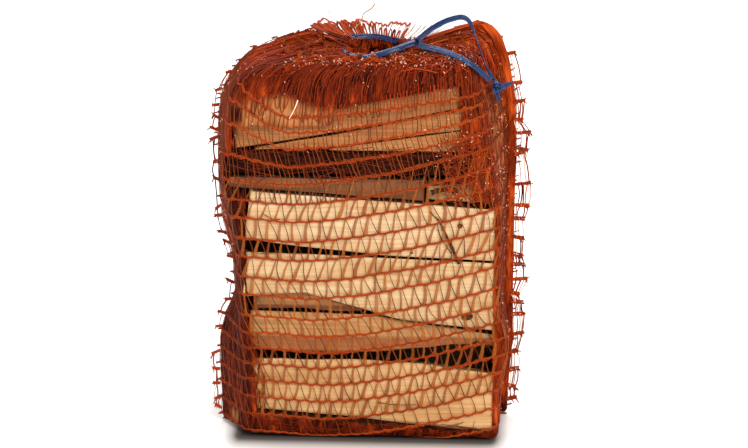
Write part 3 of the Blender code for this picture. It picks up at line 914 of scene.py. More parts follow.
def net_mass(name, back, material):
    """The knit where layers of it lie bunched, as one crumpled sheet close under the threads."""
    row_count = int((FRONT_TOP_EDGE - MASS_FOOT) / MASS_STEP)
    heights = [MASS_FOOT + (FRONT_TOP_EDGE - MASS_FOOT) * row / row_count for row in range(row_count + 1)]
    shares = [FLAP_END * column / MASS_COLUMNS for column in range(MASS_COLUMNS + 1)]
    grid = [[cloth_point(s, t, back) for s in shares] for t in heights]
    points = []
    cover = []
    weave = []
    painted_shade = []
    tan = []
    for row, t in enumerate(heights):
        above = grid[min(row + 1, row_count)]
        below = grid[max(row - 1, 0)]
        gathered = smooth_step(t, 262, 292)
        for column, s in enumerate(shares):
            place = grid[row][column]
            across = grid[row][min(column + 1, MASS_COLUMNS)] - grid[row][max(column - 1, 0)]
            out = across.cross(above[column] - below[column])
            out = out.normalized() * (-1 if back else 1)
            width = s * PANEL_WIDTH
            folds = noise.noise(Vector((width * 0.10, t * 0.03, 3.0 + back)))
            pleats = noise.noise(Vector((width * 0.35, t * 0.06, 9.0 + back)))
            depth = 1.0 + 0.7 * pleats + gathered * (1.6 + 2.6 * folds + 1.2 * pleats)
            points.append((place - out * depth) * MM)
            cover.append(knit_cover(s, t, place, back))
            weave += [width, t, 5.0 * back]
            painted_shade.append(knit_painted_shade(s, t, place, back))
            tan.append(knit_tan(s, place, back))
    faces = []
    for row in range(row_count):
        for column in range(MASS_COLUMNS):
            a = row * (MASS_COLUMNS + 1) + column
            corners = (a, a + 1, a + MASS_COLUMNS + 2, a + MASS_COLUMNS + 1)
            if max(cover[corner] for corner in corners) > 0.04:
                faces.append(corners if not back else corners[::-1])
    piece = add_mesh(name, points, faces, material)
    for attribute, values in (("cover", cover), ("painted_shade", painted_shade), ("tan", tan)):
        mark(piece.data, attribute, values)
    mark(piece.data, "weave_place", weave, "FLOAT_VECTOR", "vector")
    drop_loose_points(piece.data)
    settle(piece, "net", "net_sack")


def drop_loose_points(mesh):
    """Delete the points of a mesh that no face uses."""
    builder = bmesh.new()
    builder.from_mesh(mesh)
    loose = [vertex for vertex in builder.verts if not vertex.link_faces]
    bmesh.ops.delete(builder, geom=loose, context="VERTS")
    builder.to_mesh(mesh)
    builder.free()


# Where the knit lies in folds on itself: panel, s from and to, t from and to, how many threads, how far in
# they lie at most, how far they lean, longest, thickest and how bright at most, which is lower in the
# gathered strip, at the foot and low down at the left as painted shade, and higher up the left as painted
# light
BUNCHES = (
    ("front", 0.16, 0.84, 272, 298, 420, 1.2, 0.1, 22, 0.75, 0.5),
    ("front", 0.0, 1.0, 292, 325, 1500, 3.5, 0.9, 15, 0.9, 1.15),
    ("back", 0.0, 1.0, 288, 326, 1200, 3.5, 0.9, 15, 0.95, 1.0),
    ("back", 0.08, 0.92, 266, 298, 600, 2.0, 0.12, 26, 0.9, 0.7),
    ("front", 0.0, 0.19, 4, 128, 300, 1.2, 0.2, 20, 0.7, 0.45),
    ("front", 0.0, 0.17, 128, 292, 460, 1.2, 0.35, 18, 0.7, 1.3),
    ("back", 0.0, 0.12, 4, 292, 260, 1.2, 0.25, 18, 0.7, 0.7),
    ("front", 0.80, 1.018, 4, 296, 800, 1.2, 0.25, 18, 0.9, 0.9),
    ("back", 0.88, 1.0, 4, 296, 260, 1.2, 0.25, 18, 0.7, 0.8),
    ("front", 0.70, 0.84, 192, 242, 260, 1.2, 0.8, 13, 0.85, 0.9),
    ("front", 0.18, 0.82, 2, 13, 120, 0.8, 1.5, 12, 0.6, 0.3),
    ("front", 0.16, 0.76, 208, 234, 130, 0.6, 1.4, 16, 0.6, 0.35),
)


def net_bunches(name, side, tree, material):
    """Threads of the knit where it is bunched in folds, each a short curved run."""
    chance = random.Random(name)
    guide = Guide()
    back = side == "back"
    for panel, s_low, s_high, t_low, t_high, count, depth, lean, reach, thick, bright in BUNCHES:
        if panel != side:
            continue
        for _ in range(count):
            s = chance.uniform(s_low, s_high)
            t = chance.uniform(t_low, t_high)
            length = reach * chance.uniform(0.5, 1.0)
            tilt = lean * chance.gauss(0, 1)
            sink = depth * chance.random()
            curl = chance.uniform(-1.2, 1.2)
            places = []
            outward = []
            for step in range(5):
                share = step / 4 - 0.5
                drift = (share * tilt * length + curl * share * share * 4) / PANEL_WIDTH
                s_here = min(max(1.0, s_high), max(0.0, s + drift))
                t_here = min(FRONT_TOP_EDGE, t + share * length * math.cos(min(1.3, abs(tilt))))
                place = cloth_point(s_here, t_here, back)
                # The threads of the gathered strip end at its edge
                if t_low > 270 and not back and place.z < strip_edge_at(place.x) + 1:
                    continue
                out = cloth_normal(s_here, t_here, back)
                puff = noise.noise(Vector((s_here * 40, t_here * 0.2, sink)))
                places.append(place - out * (sink + 1.5 * puff * (depth > 1.5)))
                outward.append(out)
            if len(places) > 1:
                guide.add(places, outward, thick * chance.uniform(0.45, 1.0), bright * chance.random())
    net_piece(guide, name, tree, 0.3, material)


def inner_folds(name, tree, material):
    """Wide folds of the knit tucked in under the gathered top, between it and the sticks, coloured dark as
    painted shade inside the sack.
    """
    chance = random.Random(name)
    guide = Guide()
    for _ in range(500):
        back = chance.random() < 0.45
        s = chance.uniform(0.04, 0.97)
        t = chance.uniform(290, 321)
        length = chance.uniform(12, 26)
        tilt = chance.uniform(-1.2, 1.2)
        sink = chance.uniform(3.5, 9.0)
        places = []
        outward = []
        for step in range(5):
            share = step / 4 - 0.5
            s_here = min(0.98, max(0.02, s + share * math.sin(tilt) * length / PANEL_WIDTH * 1.6))
            t_here = min(321.0, t + share * length * math.cos(tilt))
            out = cloth_normal(s_here, t_here, back)
            ripple = 1.5 * noise.noise(Vector((s_here * 30, t_here * 0.15, sink)))
            places.append(cloth_point(s_here, t_here, back) - out * (sink + ripple))
            outward.append((out + Vector((chance.uniform(-0.6, 0.6), 0, 0))).normalized())
        guide.add(places, outward, chance.uniform(1.5, 4.5), 0.6 * chance.random())
    net_piece(guide, name, tree, 0.04, material)


def loop_run(middle, half_width, lean, foot, rise, back):
    """A narrow loop on the cloth, which stands up from its foot, or hangs where its rise is
    below 0: its places and outward directions."""
    places = []
    outward = []
    for step in range(9):
        angle = math.pi * step / 8
        s = min(1.0, max(0.0, middle - half_width * math.cos(angle) + lean * math.sin(angle)))
        t = foot + rise * math.sin(angle) ** 0.45
        places.append(cloth_point(s, t, back))
        outward.append(cloth_normal(s, t, back))
    return places, outward


def strip_loops(name, tree, material):
    """Narrow loops of the knit that hang over the wood below the gathered strip."""
    chance = random.Random(name)
    guide = Guide()
    for index in range(44):
        middle = 0.24 + index * 0.0135 + chance.uniform(-0.003, 0.003)
        edge = strip_edge_at(cloth_point(middle, 265, False).x)
        drop = chance.uniform(11, 17)
        lean = chance.uniform(-0.006, 0.006)
        half_width = chance.uniform(0.0035, 0.006)
        places, outward = loop_run(middle, half_width, lean, edge + 5, -drop, False)
        guide.add(places, outward, chance.uniform(0.45, 0.8), chance.uniform(0, 0.7))
    net_piece(guide, name, tree, 0.6, material)


def hem_loops(name, tree, material):
    """Narrow loops of the knit that stand up above the drawstring, with gaps between them."""
    chance = random.Random(name)
    guide = Guide()
    for back, s_low, s_high, spacing in (
        (True, *HEM_SPAN, LOOP_SPACING), (True, HEM_SPAN[0], 0.40, LOOP_SPACING * 0.6),
        (False, 0.0, 0.20, LOOP_SPACING),
    ):
        count = int((s_high - s_low) / spacing)
        for index in range(count + 1):
            middle = s_low + index * spacing + chance.uniform(-0.006, 0.006)
            height = LOOP_TOP + chance.uniform(-1.5, 1.0) - 4.0 * back * smooth_step(middle, 0.40, 0.62)
            lean = chance.uniform(-0.012, 0.012)
            places, outward = loop_run(middle, LOOP_HALF_WIDTH, lean, LOOP_FOOT, height - LOOP_FOOT, back)
            guide.add(places, outward, chance.uniform(0.9, 1.3), chance.random())
    net_piece(guide, name, tree, 0.8, material)


# Heights where the ends of the knitted rows stand out of the side seams, as rungs and tufts
RIGHT_RUNGS = (
    12, 25, 37, 53, 68, 85, 96, 103.5, 114.5, 127, 136, 150, 165, 176.5, 193, 217.5, 223, 234.5,
    246, 259, 273, 289,
)
LEFT_TUFTS = (
    11, 20, 32, 44, 59, 78.5, 88, 99, 111, 131, 142, 151, 165.5, 173.5, 194.5, 209, 229.5, 235, 245,
    255.5, 268, 281,
)
LONG_RUNGS = (176.5, 193, 150, 114.5, 234.5)


# Each seam: its side, its rows' heights, from where and how far their ends stand out, how much more
# they tilt than at the right, how many fibres a tuft has, and the threads that hang between two
# ends: their places as shares of the reach, and the share of them that is missing
SEAMS = (
    {"side": 1, "heights": RIGHT_RUNGS, "inner": 4.0, "reach": (11.0, 15.5), "tilt": 1, "tuft": (5, 9),
     "threads": (0.45, 0.58, 0.7, 0.82, 0.93), "missing": 0.2},
    {"side": -1, "heights": LEFT_TUFTS, "inner": 0.0, "reach": (3.5, 6.5), "tilt": 1.4, "tuft": (2, 5),
     "threads": (0.3, 0.6), "missing": 0.4},
)
FORWARD = Vector((0, -1, 0))


def row_end(chance, seam, height, rungs, threads):
    """A knitted row's end past a seam, with its tuft: its root on the seam, its reach and tilt."""
    side, inner = seam["side"], seam["inner"]
    root = cloth_point(1.0 if side > 0 else 0.0, height, False)
    reach = chance.uniform(*seam["reach"])
    reach += 3.0 if height in LONG_RUNGS and side > 0 else 0.0
    tilt = chance.uniform(-2.4, 2.4) * seam["tilt"]
    for offset in (0.0, chance.uniform(1.3, 2.1)) if side > 0 else (0.0, 1.0):
        places = []
        for step in range(7):
            share = step / 6
            out = inner + (reach - inner) * share
            wag = 0.5 * noise.noise(Vector((share * 4, height, offset)))
            places.append(root + Vector((side * out, -1.0, offset + tilt * share + wag)))
        rungs.add(places, FORWARD, 1.0, chance.uniform(0.4, 1.0))
    for _ in range(chance.randint(*seam["tuft"])):
        aim = Vector((side * 0.8, chance.uniform(-0.7, 0.7), chance.uniform(-1.3, 1.3))).normalized()
        share = 1.0 - 0.5 * chance.random() ** 2
        tip = root + Vector((side * (reach - 1) * share, -1.0, tilt * share))
        length = chance.uniform(1.5, 4.5)
        threads.add([tip, tip + aim * length * 0.6, tip + aim * length - Vector((0, 0, 0.8))],
                    FORWARD, chance.uniform(0.35, 0.95), 0.9 * chance.random())
    return root, reach, tilt


def hanging_threads(chance, seam, lower_end, upper_end, threads, pale_threads):
    """The threads that hang between two neighbouring row ends."""
    side = seam["side"]
    (low, low_reach, low_tilt), (high, high_reach, high_tilt) = lower_end, upper_end
    for share_out in seam["threads"]:
        if chance.random() < seam["missing"]:
            continue
        start = low + Vector((side * low_reach * share_out, -1.0, low_tilt * share_out))
        stop = high + Vector((side * high_reach * share_out, -1.0, high_tilt * share_out))
        swell = Vector((side * chance.uniform(-0.8, 1.4), chance.uniform(-2.2, 2.2), 0))
        shift = Vector((chance.uniform(-0.9, 0.9), 0, 0))
        places = [
            start.lerp(stop + shift, step / 6) + swell * math.sin(math.pi * step / 6) for step in range(7)
        ]
        # A share of the right seam's hanging threads take the pale finish: pale fibres, with painted
        # highlights on them
        pale = side > 0 and chance.random() < 0.3
        guide = pale_threads if pale else threads
        guide.add(places, FORWARD, chance.uniform(0.6, 1.25), chance.random())


def seam_ends(trees, finishes):
    """The row ends past both side seams, with the threads that hang between them."""
    chance = random.Random("seam_ends")
    rungs = Guide()
    threads = Guide()
    pale_threads = Guide()
    for seam in SEAMS:
        ends = [row_end(chance, seam, height, rungs, threads) for height in seam["heights"]]
        for lower_end, upper_end in zip(ends, ends[1:]):
            hanging_threads(chance, seam, lower_end, upper_end, threads, pale_threads)
    knitted = rungs.grow("sack_row_ends", trees[0], {
        "Strand Radius": 0.6 * MM, "Twist Radius": 0.55 * MM, "Pitch": 3.4 * MM, "Step": 0.8 * MM,
        "Material": finishes[0],
    })
    settle(knitted, "net", "net_sack")
    net_piece(threads, "sack_seam_threads", trees[1], 0.35, finishes[1])
    net_piece(pale_threads, "sack_seam_pale_threads", trees[1], 0.3, finishes[2])


def painted_glint_slivers(name, tree, material):
    """Turned-over slivers of film in the gathered knit, coloured pale as painted highlights where they catch
    the light.
    """
    chance = random.Random(name)
    guide = Guide()
    for s_low, s_high, t_low, t_high, count in (
        (0.24, 0.84, 294, 301, 110), (0.05, 0.95, 290, 324, 110), (0.68, 0.84, 190, 262, 40),
        (0.2, 0.8, 214, 290, 30), (0.85, 0.985, 20, 310, 90), (0.02, 0.14, 140, 290, 60),
    ):
        for _ in range(count):
            s = chance.uniform(s_low, s_high)
            t = chance.uniform(t_low, t_high)
            start = cloth_point(s, t, False) + cloth_normal(s, t, False) * 1.2
            aim = Vector((chance.uniform(-1, 1), -0.2, chance.uniform(-1, 1))) * chance.uniform(0.7, 1.8)
            guide.add([start, start + aim * 0.5, start + aim], Vector((0, -0.8, 0.6)),
                      chance.uniform(0.25, 0.6), chance.random())
    net_piece(guide, name, tree, 0.3, material)


# Finishes of the net's threads and films: the deep colour for a low shade, which is partly random and partly
# painted shade, the bright colour for a high shade, partly random and partly painted light, opacity and
# roughness
KNIT_FINISHES = {
    "rows": ("#4A1002", "#B8420E", 1.0, 0.5),
    "threads": ("#3E0C01", "#B03A0C", 1.0, 0.5),
    # The thin legs are dark brown, partly their own colour and partly a painted shadow that they cast on the
    # wood
    "legs": ("#4A200C", "#8A3C12", 1.0, 0.5),
    "tapes": ("#843A12", "#B06022", 0.47, 0.45),
    "film": ("#B8440E", "#E0682C", 0.34, 0.45),
    # The folds tucked in under the mouth are near black: painted shade inside the sack
    "folds": ("#2C0801", "#6E1E04", 1.0, 0.55),
    # The slivers finish is pale: painted highlights on the slivers, and on the seam's pale threads pale
    # fibres with painted highlights on them
    "slivers": ("#C8704C", "#F0CDB4", 1.0, 0.4),
}


def dress_net(row_tree, tape_tree):
    """The whole net sack in pieces that each stand for the CAD sack."""
    finish = {
        name: knitted_polyethylene("knitted_polyethylene_" + name, *look)
        for name, look in KNIT_FINISHES.items()
    }
    mass_finish = bunched_knit("bunched_knit", "#300A03", "#8A2A09", "#C8541A")
    trees = (row_tree, tape_tree)
    for back, side in ((False, "front"), (True, "back")):
        net_rows("sack_rows_" + side, back, trees, (finish["rows"], finish["film"]))
        net_wefts("sack_threads_" + side, back, tape_tree, finish["legs"], False)
        net_wefts("sack_tapes_" + side, back, tape_tree, finish["tapes"], True)
        net_bunches("sack_bunches_" + side, side, tape_tree, finish["threads"])
        net_mass("sack_folds_" + side, back, mass_finish)
    inner_folds("sack_inner_folds", tape_tree, finish["folds"])
    hem_loops("sack_hem_loops", tape_tree, finish["rows"])
    strip_loops("sack_strip_loops", tape_tree, finish["threads"])
    seam_ends(trees, (finish["rows"], finish["threads"], finish["slivers"]))
    painted_glint_slivers("sack_slivers", tape_tree, finish["slivers"])


# Drawstring


def film_ribbon(name, route, facing, material, width=TAPE_WIDTH, tip=None):
    """A flat film tape along a route in millimetres, creased along its length, and as wide as the
    tip says at its end."""
    chance = random.Random(name)
    creases = [chance.uniform(-TAPE_CREASE, TAPE_CREASE) for _ in range(TAPE_COLUMNS)]
    points = []
    across = []
    count = len(route)
    for i, place in enumerate(route):
        ahead = (route[min(i + 1, count - 1)] - route[max(i - 1, 0)]).normalized()
        reach = i / (count - 1) * (len(facing) - 1)
        low = min(int(reach), len(facing) - 2)
        out = Vector(facing[low]).lerp(Vector(facing[low + 1]), reach - low)
        out = (out - ahead * out.dot(ahead)).normalized()
        side = ahead.cross(out)
        here = width if tip is None else width + (tip - width) * i / (count - 1)
        for column, crease in enumerate(creases):
            share = column / (TAPE_COLUMNS - 1) - 0.5
            ripple = noise.noise(Vector((i * 0.35, column * 1.7, chance.random() * 0.1)))
            shift = crease + 0.35 * ripple
            points.append((place + side * share * here + out * shift) * MM)
            across.append(share + 0.5)
    faces = []
    for i in range(count - 1):
        for column in range(TAPE_COLUMNS - 1):
            a = i * TAPE_COLUMNS + column
            faces.append((a, a + 1, a + TAPE_COLUMNS + 1, a + TAPE_COLUMNS))
    piece = add_mesh(name, points, faces, material)
    mark(piece.data, "across", across)
    skin = piece.modifiers.new("film_thickness", "SOLIDIFY")
    skin.thickness = 0.12 * MM
    skin.offset = 0.0
    return piece


# The route of the tape in the mouth, and of the wraps of its knot
HEM_TAPE = (
    (38, -17, 310), (33, -25, 309.5), (26, -32, 307.5), (19, -35, 305.5), (9, -36.5, 302.8),
    (-1, -36.5, 300.5), (-10, -33, 300.5), (-18, -24, 302), (-22.5, -7, 304.5), (-20, 9, 306.5),
    (-14, 20, 308), (-4, 23.5, 308), (8, 24, 307.2), (20, 22, 305), (30, 14, 305), (37.5, 2, 306.5),
    (40, -9, 308.5),
)
KNOT_WRAPS = (
    (97, -33, 283), (100.5, -37.5, 281.5), (104, -37, 278), (102, -33.5, 275), (98, -34, 276),
    (97.5, -38.5, 279.5), (101, -39.5, 280.5), (103.5, -36, 276.5), (100.5, -34, 274.5),
    (97.8, -37, 276.5), (99.5, -38.8, 279),
)


# The knot's tails: name, route, facing, and width at the knot and at the tip
TAILS = (
    ("drawstring_tail_right", ((98.5, -38.5, 276.5), (103, -38, 278.5), (108, -37.5, 280.5),
                               (112, -37.5, 281.8)), ((0, -1, 0.2), (0, -1, 0.1)), 8.5, 1.6),
    ("drawstring_tail_lower", ((99, -38, 278), (99.8, -38.5, 274.5), (101, -38.5, 271),
                               (102.5, -38, 267.5)), ((0, -1, 0.1), (0.5, -1, 0.1)), 5.5, 2.2),
)


def dress_drawstring():
    """The tape through the mouth, its two free strands, and the knot with its tails."""
    film = blue_film()
    hem = film_ribbon(
        "drawstring_tape_in_hem", smooth_route(HEM_TAPE, 1.5),
        ((0.4, -0.7, 0.6), (0, -0.8, 0.6), (-0.8, -0.4, 0.5), (0, -1, 0.3), (0.4, -0.8, 0.4)), film,
    )
    settle(hem, "tape", "drawstring_hem")
    knot = film_ribbon(
        "drawstring_knot_wraps", smooth_route(KNOT_WRAPS, 0.8),
        ((-0.3, -0.6, 0.7), (0.8, -0.5, 0.2), (0.2, 0.3, -0.8), (-0.9, 0, 0), (0.2, -1, 0.3),
         (0.9, 0.2, -0.3), (-0.2, 0.4, -0.9), (-0.3, -1, 0.2)), film, width=3.6,
    )
    settle(knot, "tape", "drawstring_knot")
    for name, points, facing, root_width, tip in TAILS:
        tail = film_ribbon(name, smooth_route(points, 0.8), facing, film, width=root_width, tip=tip)
        settle(tail, "tape", "drawstring_knot")
    for name, node, points, facing in (
        ("drawstring_tape_upper", "drawstring_strand_upper", UPPER_STRAND,
         ((-0.3, -0.9, 0.4), (-0.3, -0.9, 0.5), (0, -0.8, 0.6), (0.97, -0.2, 0.1), (1.0, -0.05, 0.05),
          (0.9, -0.4, 0.2))),
        ("drawstring_tape_lower", "drawstring_strand_lower", LOWER_STRAND,
         ((0, -0.8, 0.6), (0, -0.6, 0.8), (0.3, -0.5, 0.8), (0.6, -0.6, 0.5))),
    ):
        route = smooth_route(points, 1.5)
        strand = film_ribbon(name, route, facing, film)
        settle(strand, "tape", node)


# Sticks

# Tones of the front sticks: partly the wood's own colour and partly painted light and shade, lightest on the
# sticks that face the light and darkest on the shaded stick and the floor stick
STICK_TONES = {
    "kindling_floor_front": "#7E4624",
    "kindling_front_bottom": "#E5C59C",
    "kindling_front_low": "#E2BC8E",
    "kindling_wedge": "#C89C6C",
    "kindling_front_middle": "#E9D5B8",
    "kindling_front_upper": "#F0DEC6",
    "kindling_shaded": "#98663E",
    "kindling_offcut": "#EACBA0",
    "kindling_fan_lower": "#D09A66",
    "kindling_fan_middle": "#CC945E",
    "kindling_fan_upper": "#C88E5A",
}
BARK_STICKS = ("kindling_bark_front",)
# Sticks whose left end isn't cut square: how far the end's lower edge lies left of its upper one
END_SLANTS = {"kindling_front_upper": 9.0, "kindling_front_middle": 3.0}
SLANT_REACH = 30.0
# Tones of the sticks behind, at random; the dark tone of those in the middle, a painted shade inside the
# bundle; and the painted shade of faces between sticks
BACK_TONES = ("#F4D9AC", "#E4BE8C", "#EFCFA0", "#D8B184")
MIDDLE_SHADE_TONE = "#5A3C28"
INNER_SHADE = "#3A2414"
# Between these places along y, in metres, faces turn from lit ones at the front to hidden ones
FRONT_FACES = (-0.061, -0.057)
# Sticks whose top and foot aren't straight: how far up each is bent at some places along x
EDGE_BENDS = {
    "kindling_front_bottom": (
        ((-94, 0.0), (-58, 2.0), (8, 6.0), (45, 6.0), (75, 3.0), (104, 1.5)), ((0, 0.0), (1, 0.0)),
    ),
    "kindling_front_low": (
        ((0, 0.0), (1, 0.0)), ((-94, -0.8), (-30, -2.5), (10, -3.0), (45, -0.5), (70, 2.0), (104, 1.0)),
    ),
    "kindling_wedge": (((0, 0.0), (1, 0.0)), ((-94, -2.0), (-40, -2.0), (0, 0.0), (1, 0.0))),
    "kindling_shaded": (((0, 0.0), (1, 0.0)), ((0, -1.4), (1, -1.4))),
}
# Sticks with a painted shade on their lower part: its share of the height, and its tone
SHADED_FEET = {"kindling_front_low": (0.36, "#BC7C4C"), "kindling_wedge": (0.3, "#8A5430")}


def bend_at(bends, x):
    """How far up an edge is bent at x, from its places in a table."""
    if x <= bends[0][0]:
        return bends[0][1]
    for (x0, up0), (x1, up1) in zip(bends, bends[1:]):
        if x <= x1:
            return up0 + (up1 - up0) * smooth_step(x, x0, x1)
    return bends[-1][1]


def tear_faces(builder, name, corners, shift):
    """Roughen a stick's faces, and slant its left end and bend its edges where the tables say so."""
    low_corner, high_corner = corners
    for vertex in builder.verts:
        place = vertex.co
        lumps = Vector((place.x * 30, place.y * 60, place.z * 60)) + shift
        if name in BARK_STICKS:
            tear = 0.0012 * noise.noise(lumps * 2.5) + 0.0008 * noise.noise(lumps * 6)
        else:
            long_fibres = Vector((place.x * 9, place.y * 260, place.z * 260)) + shift
            tear = 0.00045 * noise.noise(long_fibres) + 0.0004 * noise.noise(lumps)
        vertex.co = place + vertex.normal * (tear - 0.0001)
        if name in END_SLANTS:
            near_end = 1 - smooth_step(vertex.co.x, low_corner.x, low_corner.x + SLANT_REACH * MM)
            up = (vertex.co.z - low_corner.z) / (high_corner.z - low_corner.z)
            vertex.co.x += near_end * (up - 0.8) * END_SLANTS[name] * MM
        if name in EDGE_BENDS:
            top_bends, foot_bends = EDGE_BENDS[name]
            x = place.x / MM
            up = min(1.0, max(0.0, (place.z - low_corner.z) / (high_corner.z - low_corner.z)))
            vertex.co.z += (up * bend_at(top_bends, x) + (1 - up) * bend_at(foot_bends, x)) * MM


def stick_colours(name, mesh, tone_code, corners):
    """The tone of each point, with painted shade: darker on a shaded foot, and on faces that lie against
    other sticks, where shade falls.
    """
    low_corner, high_corner = corners
    share, foot_code = SHADED_FEET.get(name, (0.0, tone_code))
    bare, foot_tone, hidden = (Vector(linear(code)[:3]) for code in (tone_code, foot_code, INNER_SHADE))
    colours = []
    for vertex in mesh.vertices:
        # Painted shade on faces that look up or down behind the front, where they lie against other sticks
        inward = smooth_step(abs(vertex.normal.z), 0.75, 0.95) * smooth_step(vertex.co.y, *FRONT_FACES)
        # Light reaches the topmost stick's upper face and the right part of the bottom one's
        inward *= name != "kindling_fan_upper" or vertex.normal.z < 0
        if name == "kindling_front_bottom" and vertex.normal.z > 0:
            inward *= 1 - 0.75 * smooth_step(vertex.co.x, 0.02, 0.06)
        up = (vertex.co.z - low_corner.z) / (high_corner.z - low_corner.z)
        # Painted shade on the lower part of the sticks in that table
        foot = 1 - smooth_step(up, share - 0.04, share + 0.04)
        colours += [*bare.lerp(foot_tone, foot).lerp(hidden, inward), 1.0]
    return colours


def dress_stick(name, spruce, bark):
    """A CAD stick's copy with torn faces, and the place of each point in the wood's grain."""
    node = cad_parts[name]
    chance = random.Random(name)
    corners = [Vector(corner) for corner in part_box(name)]
    builder = bmesh.new()
    builder.from_mesh(node.data)
    bmesh.ops.remove_doubles(builder, verts=builder.verts, dist=1e-6)
    for _ in range(3):
        bmesh.ops.subdivide_edges(builder, edges=builder.edges[:], cuts=1, use_grid_fill=True)
    builder.normal_update()
    shift = Vector((chance.uniform(-5, 5), chance.uniform(-5, 5), chance.uniform(-5, 5)))
    tear_faces(builder, name, corners, shift)
    mesh = bpy.data.meshes.new("dressed_" + name)
    builder.to_mesh(mesh)
    builder.free()
    mesh.materials.append(bark if name in BARK_STICKS else spruce)
    mesh.shade_smooth()
    mesh.set_sharp_from_angle(angle=math.radians(38))
    pith = Vector((0.0, chance.uniform(-0.06, 0.06), chance.uniform(-0.09, -0.03) * chance.choice((1, -1))))
    middle = sum(corners, Vector()) / 2
    places = [vertex.co - middle - pith for vertex in mesh.vertices]
    mark(mesh, "grain_place", flat_list(places), "FLOAT_VECTOR", "vector")
    tone_code = STICK_TONES.get(name, chance.choice(BACK_TONES))
    # The middle sticks, inside the bundle, get a painted shade
    if name.startswith("kindling_middle"):
        tone_code = MIDDLE_SHADE_TONE
    mark(mesh, "tone", stick_colours(name, mesh, tone_code, corners), "FLOAT_COLOR", "color")
    piece = link(bpy.data.objects.new("dressed_" + name, mesh))
    slot = "bark" if name in BARK_STICKS or name == "kindling_floor_front" else "split_wood"
    settle(piece, slot, name)


# Knots, shreds of bark and loose fibres

# Knots on the front faces: place in x and z, half width and half height, and turn in degrees
KNOTS = ((79.5, 101.8, 4.6, 3.2, 10), (73.2, 174.5, 2.0, 2.0, 0), (36.0, 152.5, 1.4, 1.0, 0))
# Shreds on the front faces: the places they run through and their width
SHREDS = (
    (((50.1, -61, 185.3), (54.8, -61.2, 180.6), (57.9, -61.3, 177.5), (62.6, -61.3, 167.2)), 1.1),
    (((57.9, -61.3, 177.5), (62.6, -61.4, 167.2), (68.1, -61.3, 155.4), (72.8, -61, 144.3)), 2.6),
    (((56, -61.2, 172), (60, -61.4, 163), (66.5, -61.3, 153)), 1.0),
    (((50.7, -56, 199.2), (57.6, -56.6, 201.5), (65.2, -56.6, 202.4), (71.4, -56, 199.5)), 4.6),
    (((77.5, -57, 74.5), (82.1, -57.4, 77.4), (89.9, -57.4, 79.6), (96.2, -57, 77.6)), 5.0),
    (((-94.4, -61, 153.2), (-79.6, -61.1, 150.6), (-63.3, -61, 152.6)), 0.7),
    (((-79.1, -61, 182.8), (-72, -61.1, 178.5), (-65.3, -61, 178)), 0.7),
    (((10, -60.8, 30), (26, -61, 28.6), (40, -61, 29)), 0.7),
)
# Loose straws and fibres: width, shade and places
STRAYS = (
    (1.0, 0.2, ((3.5, 26, 334), (0.5, 26, 330), (-5.5, 26, 326), (-7.5, 26, 320), (-12, 26, 315))),
    (0.4, 0.0, ((-34.5, 27, 330), (-31.5, 27, 323.5), (-26, 27, 319.5), (-20, 27, 316))),
    (0.4, 0.0, ((-64, 20, 323), (-65, 20, 317), (-62, 20, 313.5), (-54, 20, 311.5))),
    (0.8, 1.0, ((-50.5, -61, 271), (-53, -62.5, 264.5), (-57, -63.2, 257))),
    (0.7, 0.6, ((117, 1, 176.5), (124, 0.5, 178.5), (132, 0.5, 179.2), (140.5, 0.5, 181))),
    (0.4, 0.0, ((116, 0, 226), (121, 0, 220), (125, 0, 211), (129, 0, 205))),
    (0.4, 0.1, ((115, 0, 222), (118, 0, 214), (122, 0, 204), (127, 0, 196))),
    (0.4, 0.0, ((117, 0, 232), (121, 0, 226), (127, 0, 214), (131, 0, 209))),
    (0.5, 0.0, ((-104, 8, 288), (-108, 6, 292), (-113, 6, 293.5))),
    (0.5, 0.2, ((-98, 8, 294), (-103, 8, 299), (-104, 8, 303))),
    (0.4, 0.0, ((-110, 5, 283), (-116, 5, 284.5), (-121, 5, 284))),
    (0.4, 0.1, ((-84, 8, 303), (-90, 8, 309), (-93, 8, 309.5))),
    (0.4, 0.0, ((-118, 0, 255), (-124, -1, 250), (-126, -1, 243))),
    (0.4, 0.2, ((-117, -2, 214), (-125, -3, 211.5), (-129, -3, 212))),
    (0.4, 0.0, ((-114, -4, 176), (-120, -5, 168), (-122, -5, 161))),
    (0.5, 0.2, ((-119, -22, 34), (-124, -22, 26), (-125, -22, 14), (-121, -22, 8))),
    (0.4, 0.0, ((119, 0, 60), (124, 0, 52), (126, 0, 44))),
)
# A curly hair at the right seam: its width, start, radius and how far it climbs
CURLY_HAIR = (0.35, (120.0, 0.0, 127.0), 4.0, 3.2)


def wood_knots(name, material):
    """Low dark domes where branches grew, with a ring round each."""
    builder = bmesh.new()
    rings = 5
    sides = 18
    for x, z, half_width, half_height, turn in KNOTS:
        angle_shift = math.radians(turn)
        loops = []
        for ring in range(1, rings + 1):
            reach = ring / rings
            loop = []
            for side in range(sides):
                angle = 2 * math.pi * side / sides
                wobble = 1 + 0.12 * noise.noise(Vector((math.cos(angle) * 1.5, math.sin(angle) * 1.5, x)))
                across = half_width * reach * wobble * math.cos(angle)
                up = half_height * reach * wobble * math.sin(angle)
                spot = Vector((
                    x + across * math.cos(angle_shift) - up * math.sin(angle_shift),
                    -60.7 - 0.9 * (1 - reach ** 2) + 0.25 * math.sin(9 * reach),
                    z + across * math.sin(angle_shift) + up * math.cos(angle_shift),
                ))
                loop.append(builder.verts.new(spot * MM))
            loops.append(loop)
        builder.faces.new(loops[0])
        for inner, outer in zip(loops, loops[1:]):
            for side in range(sides):
                after = (side + 1) % sides
                builder.faces.new((inner[side], outer[side], outer[after], inner[after]))
    mesh = bpy.data.meshes.new(name)
    bmesh.ops.recalc_face_normals(builder, faces=builder.faces)
    builder.to_mesh(mesh)
    builder.free()
    mesh.materials.append(material)
    mesh.shade_smooth()
    settle(link(bpy.data.objects.new(name, mesh)), "bark")


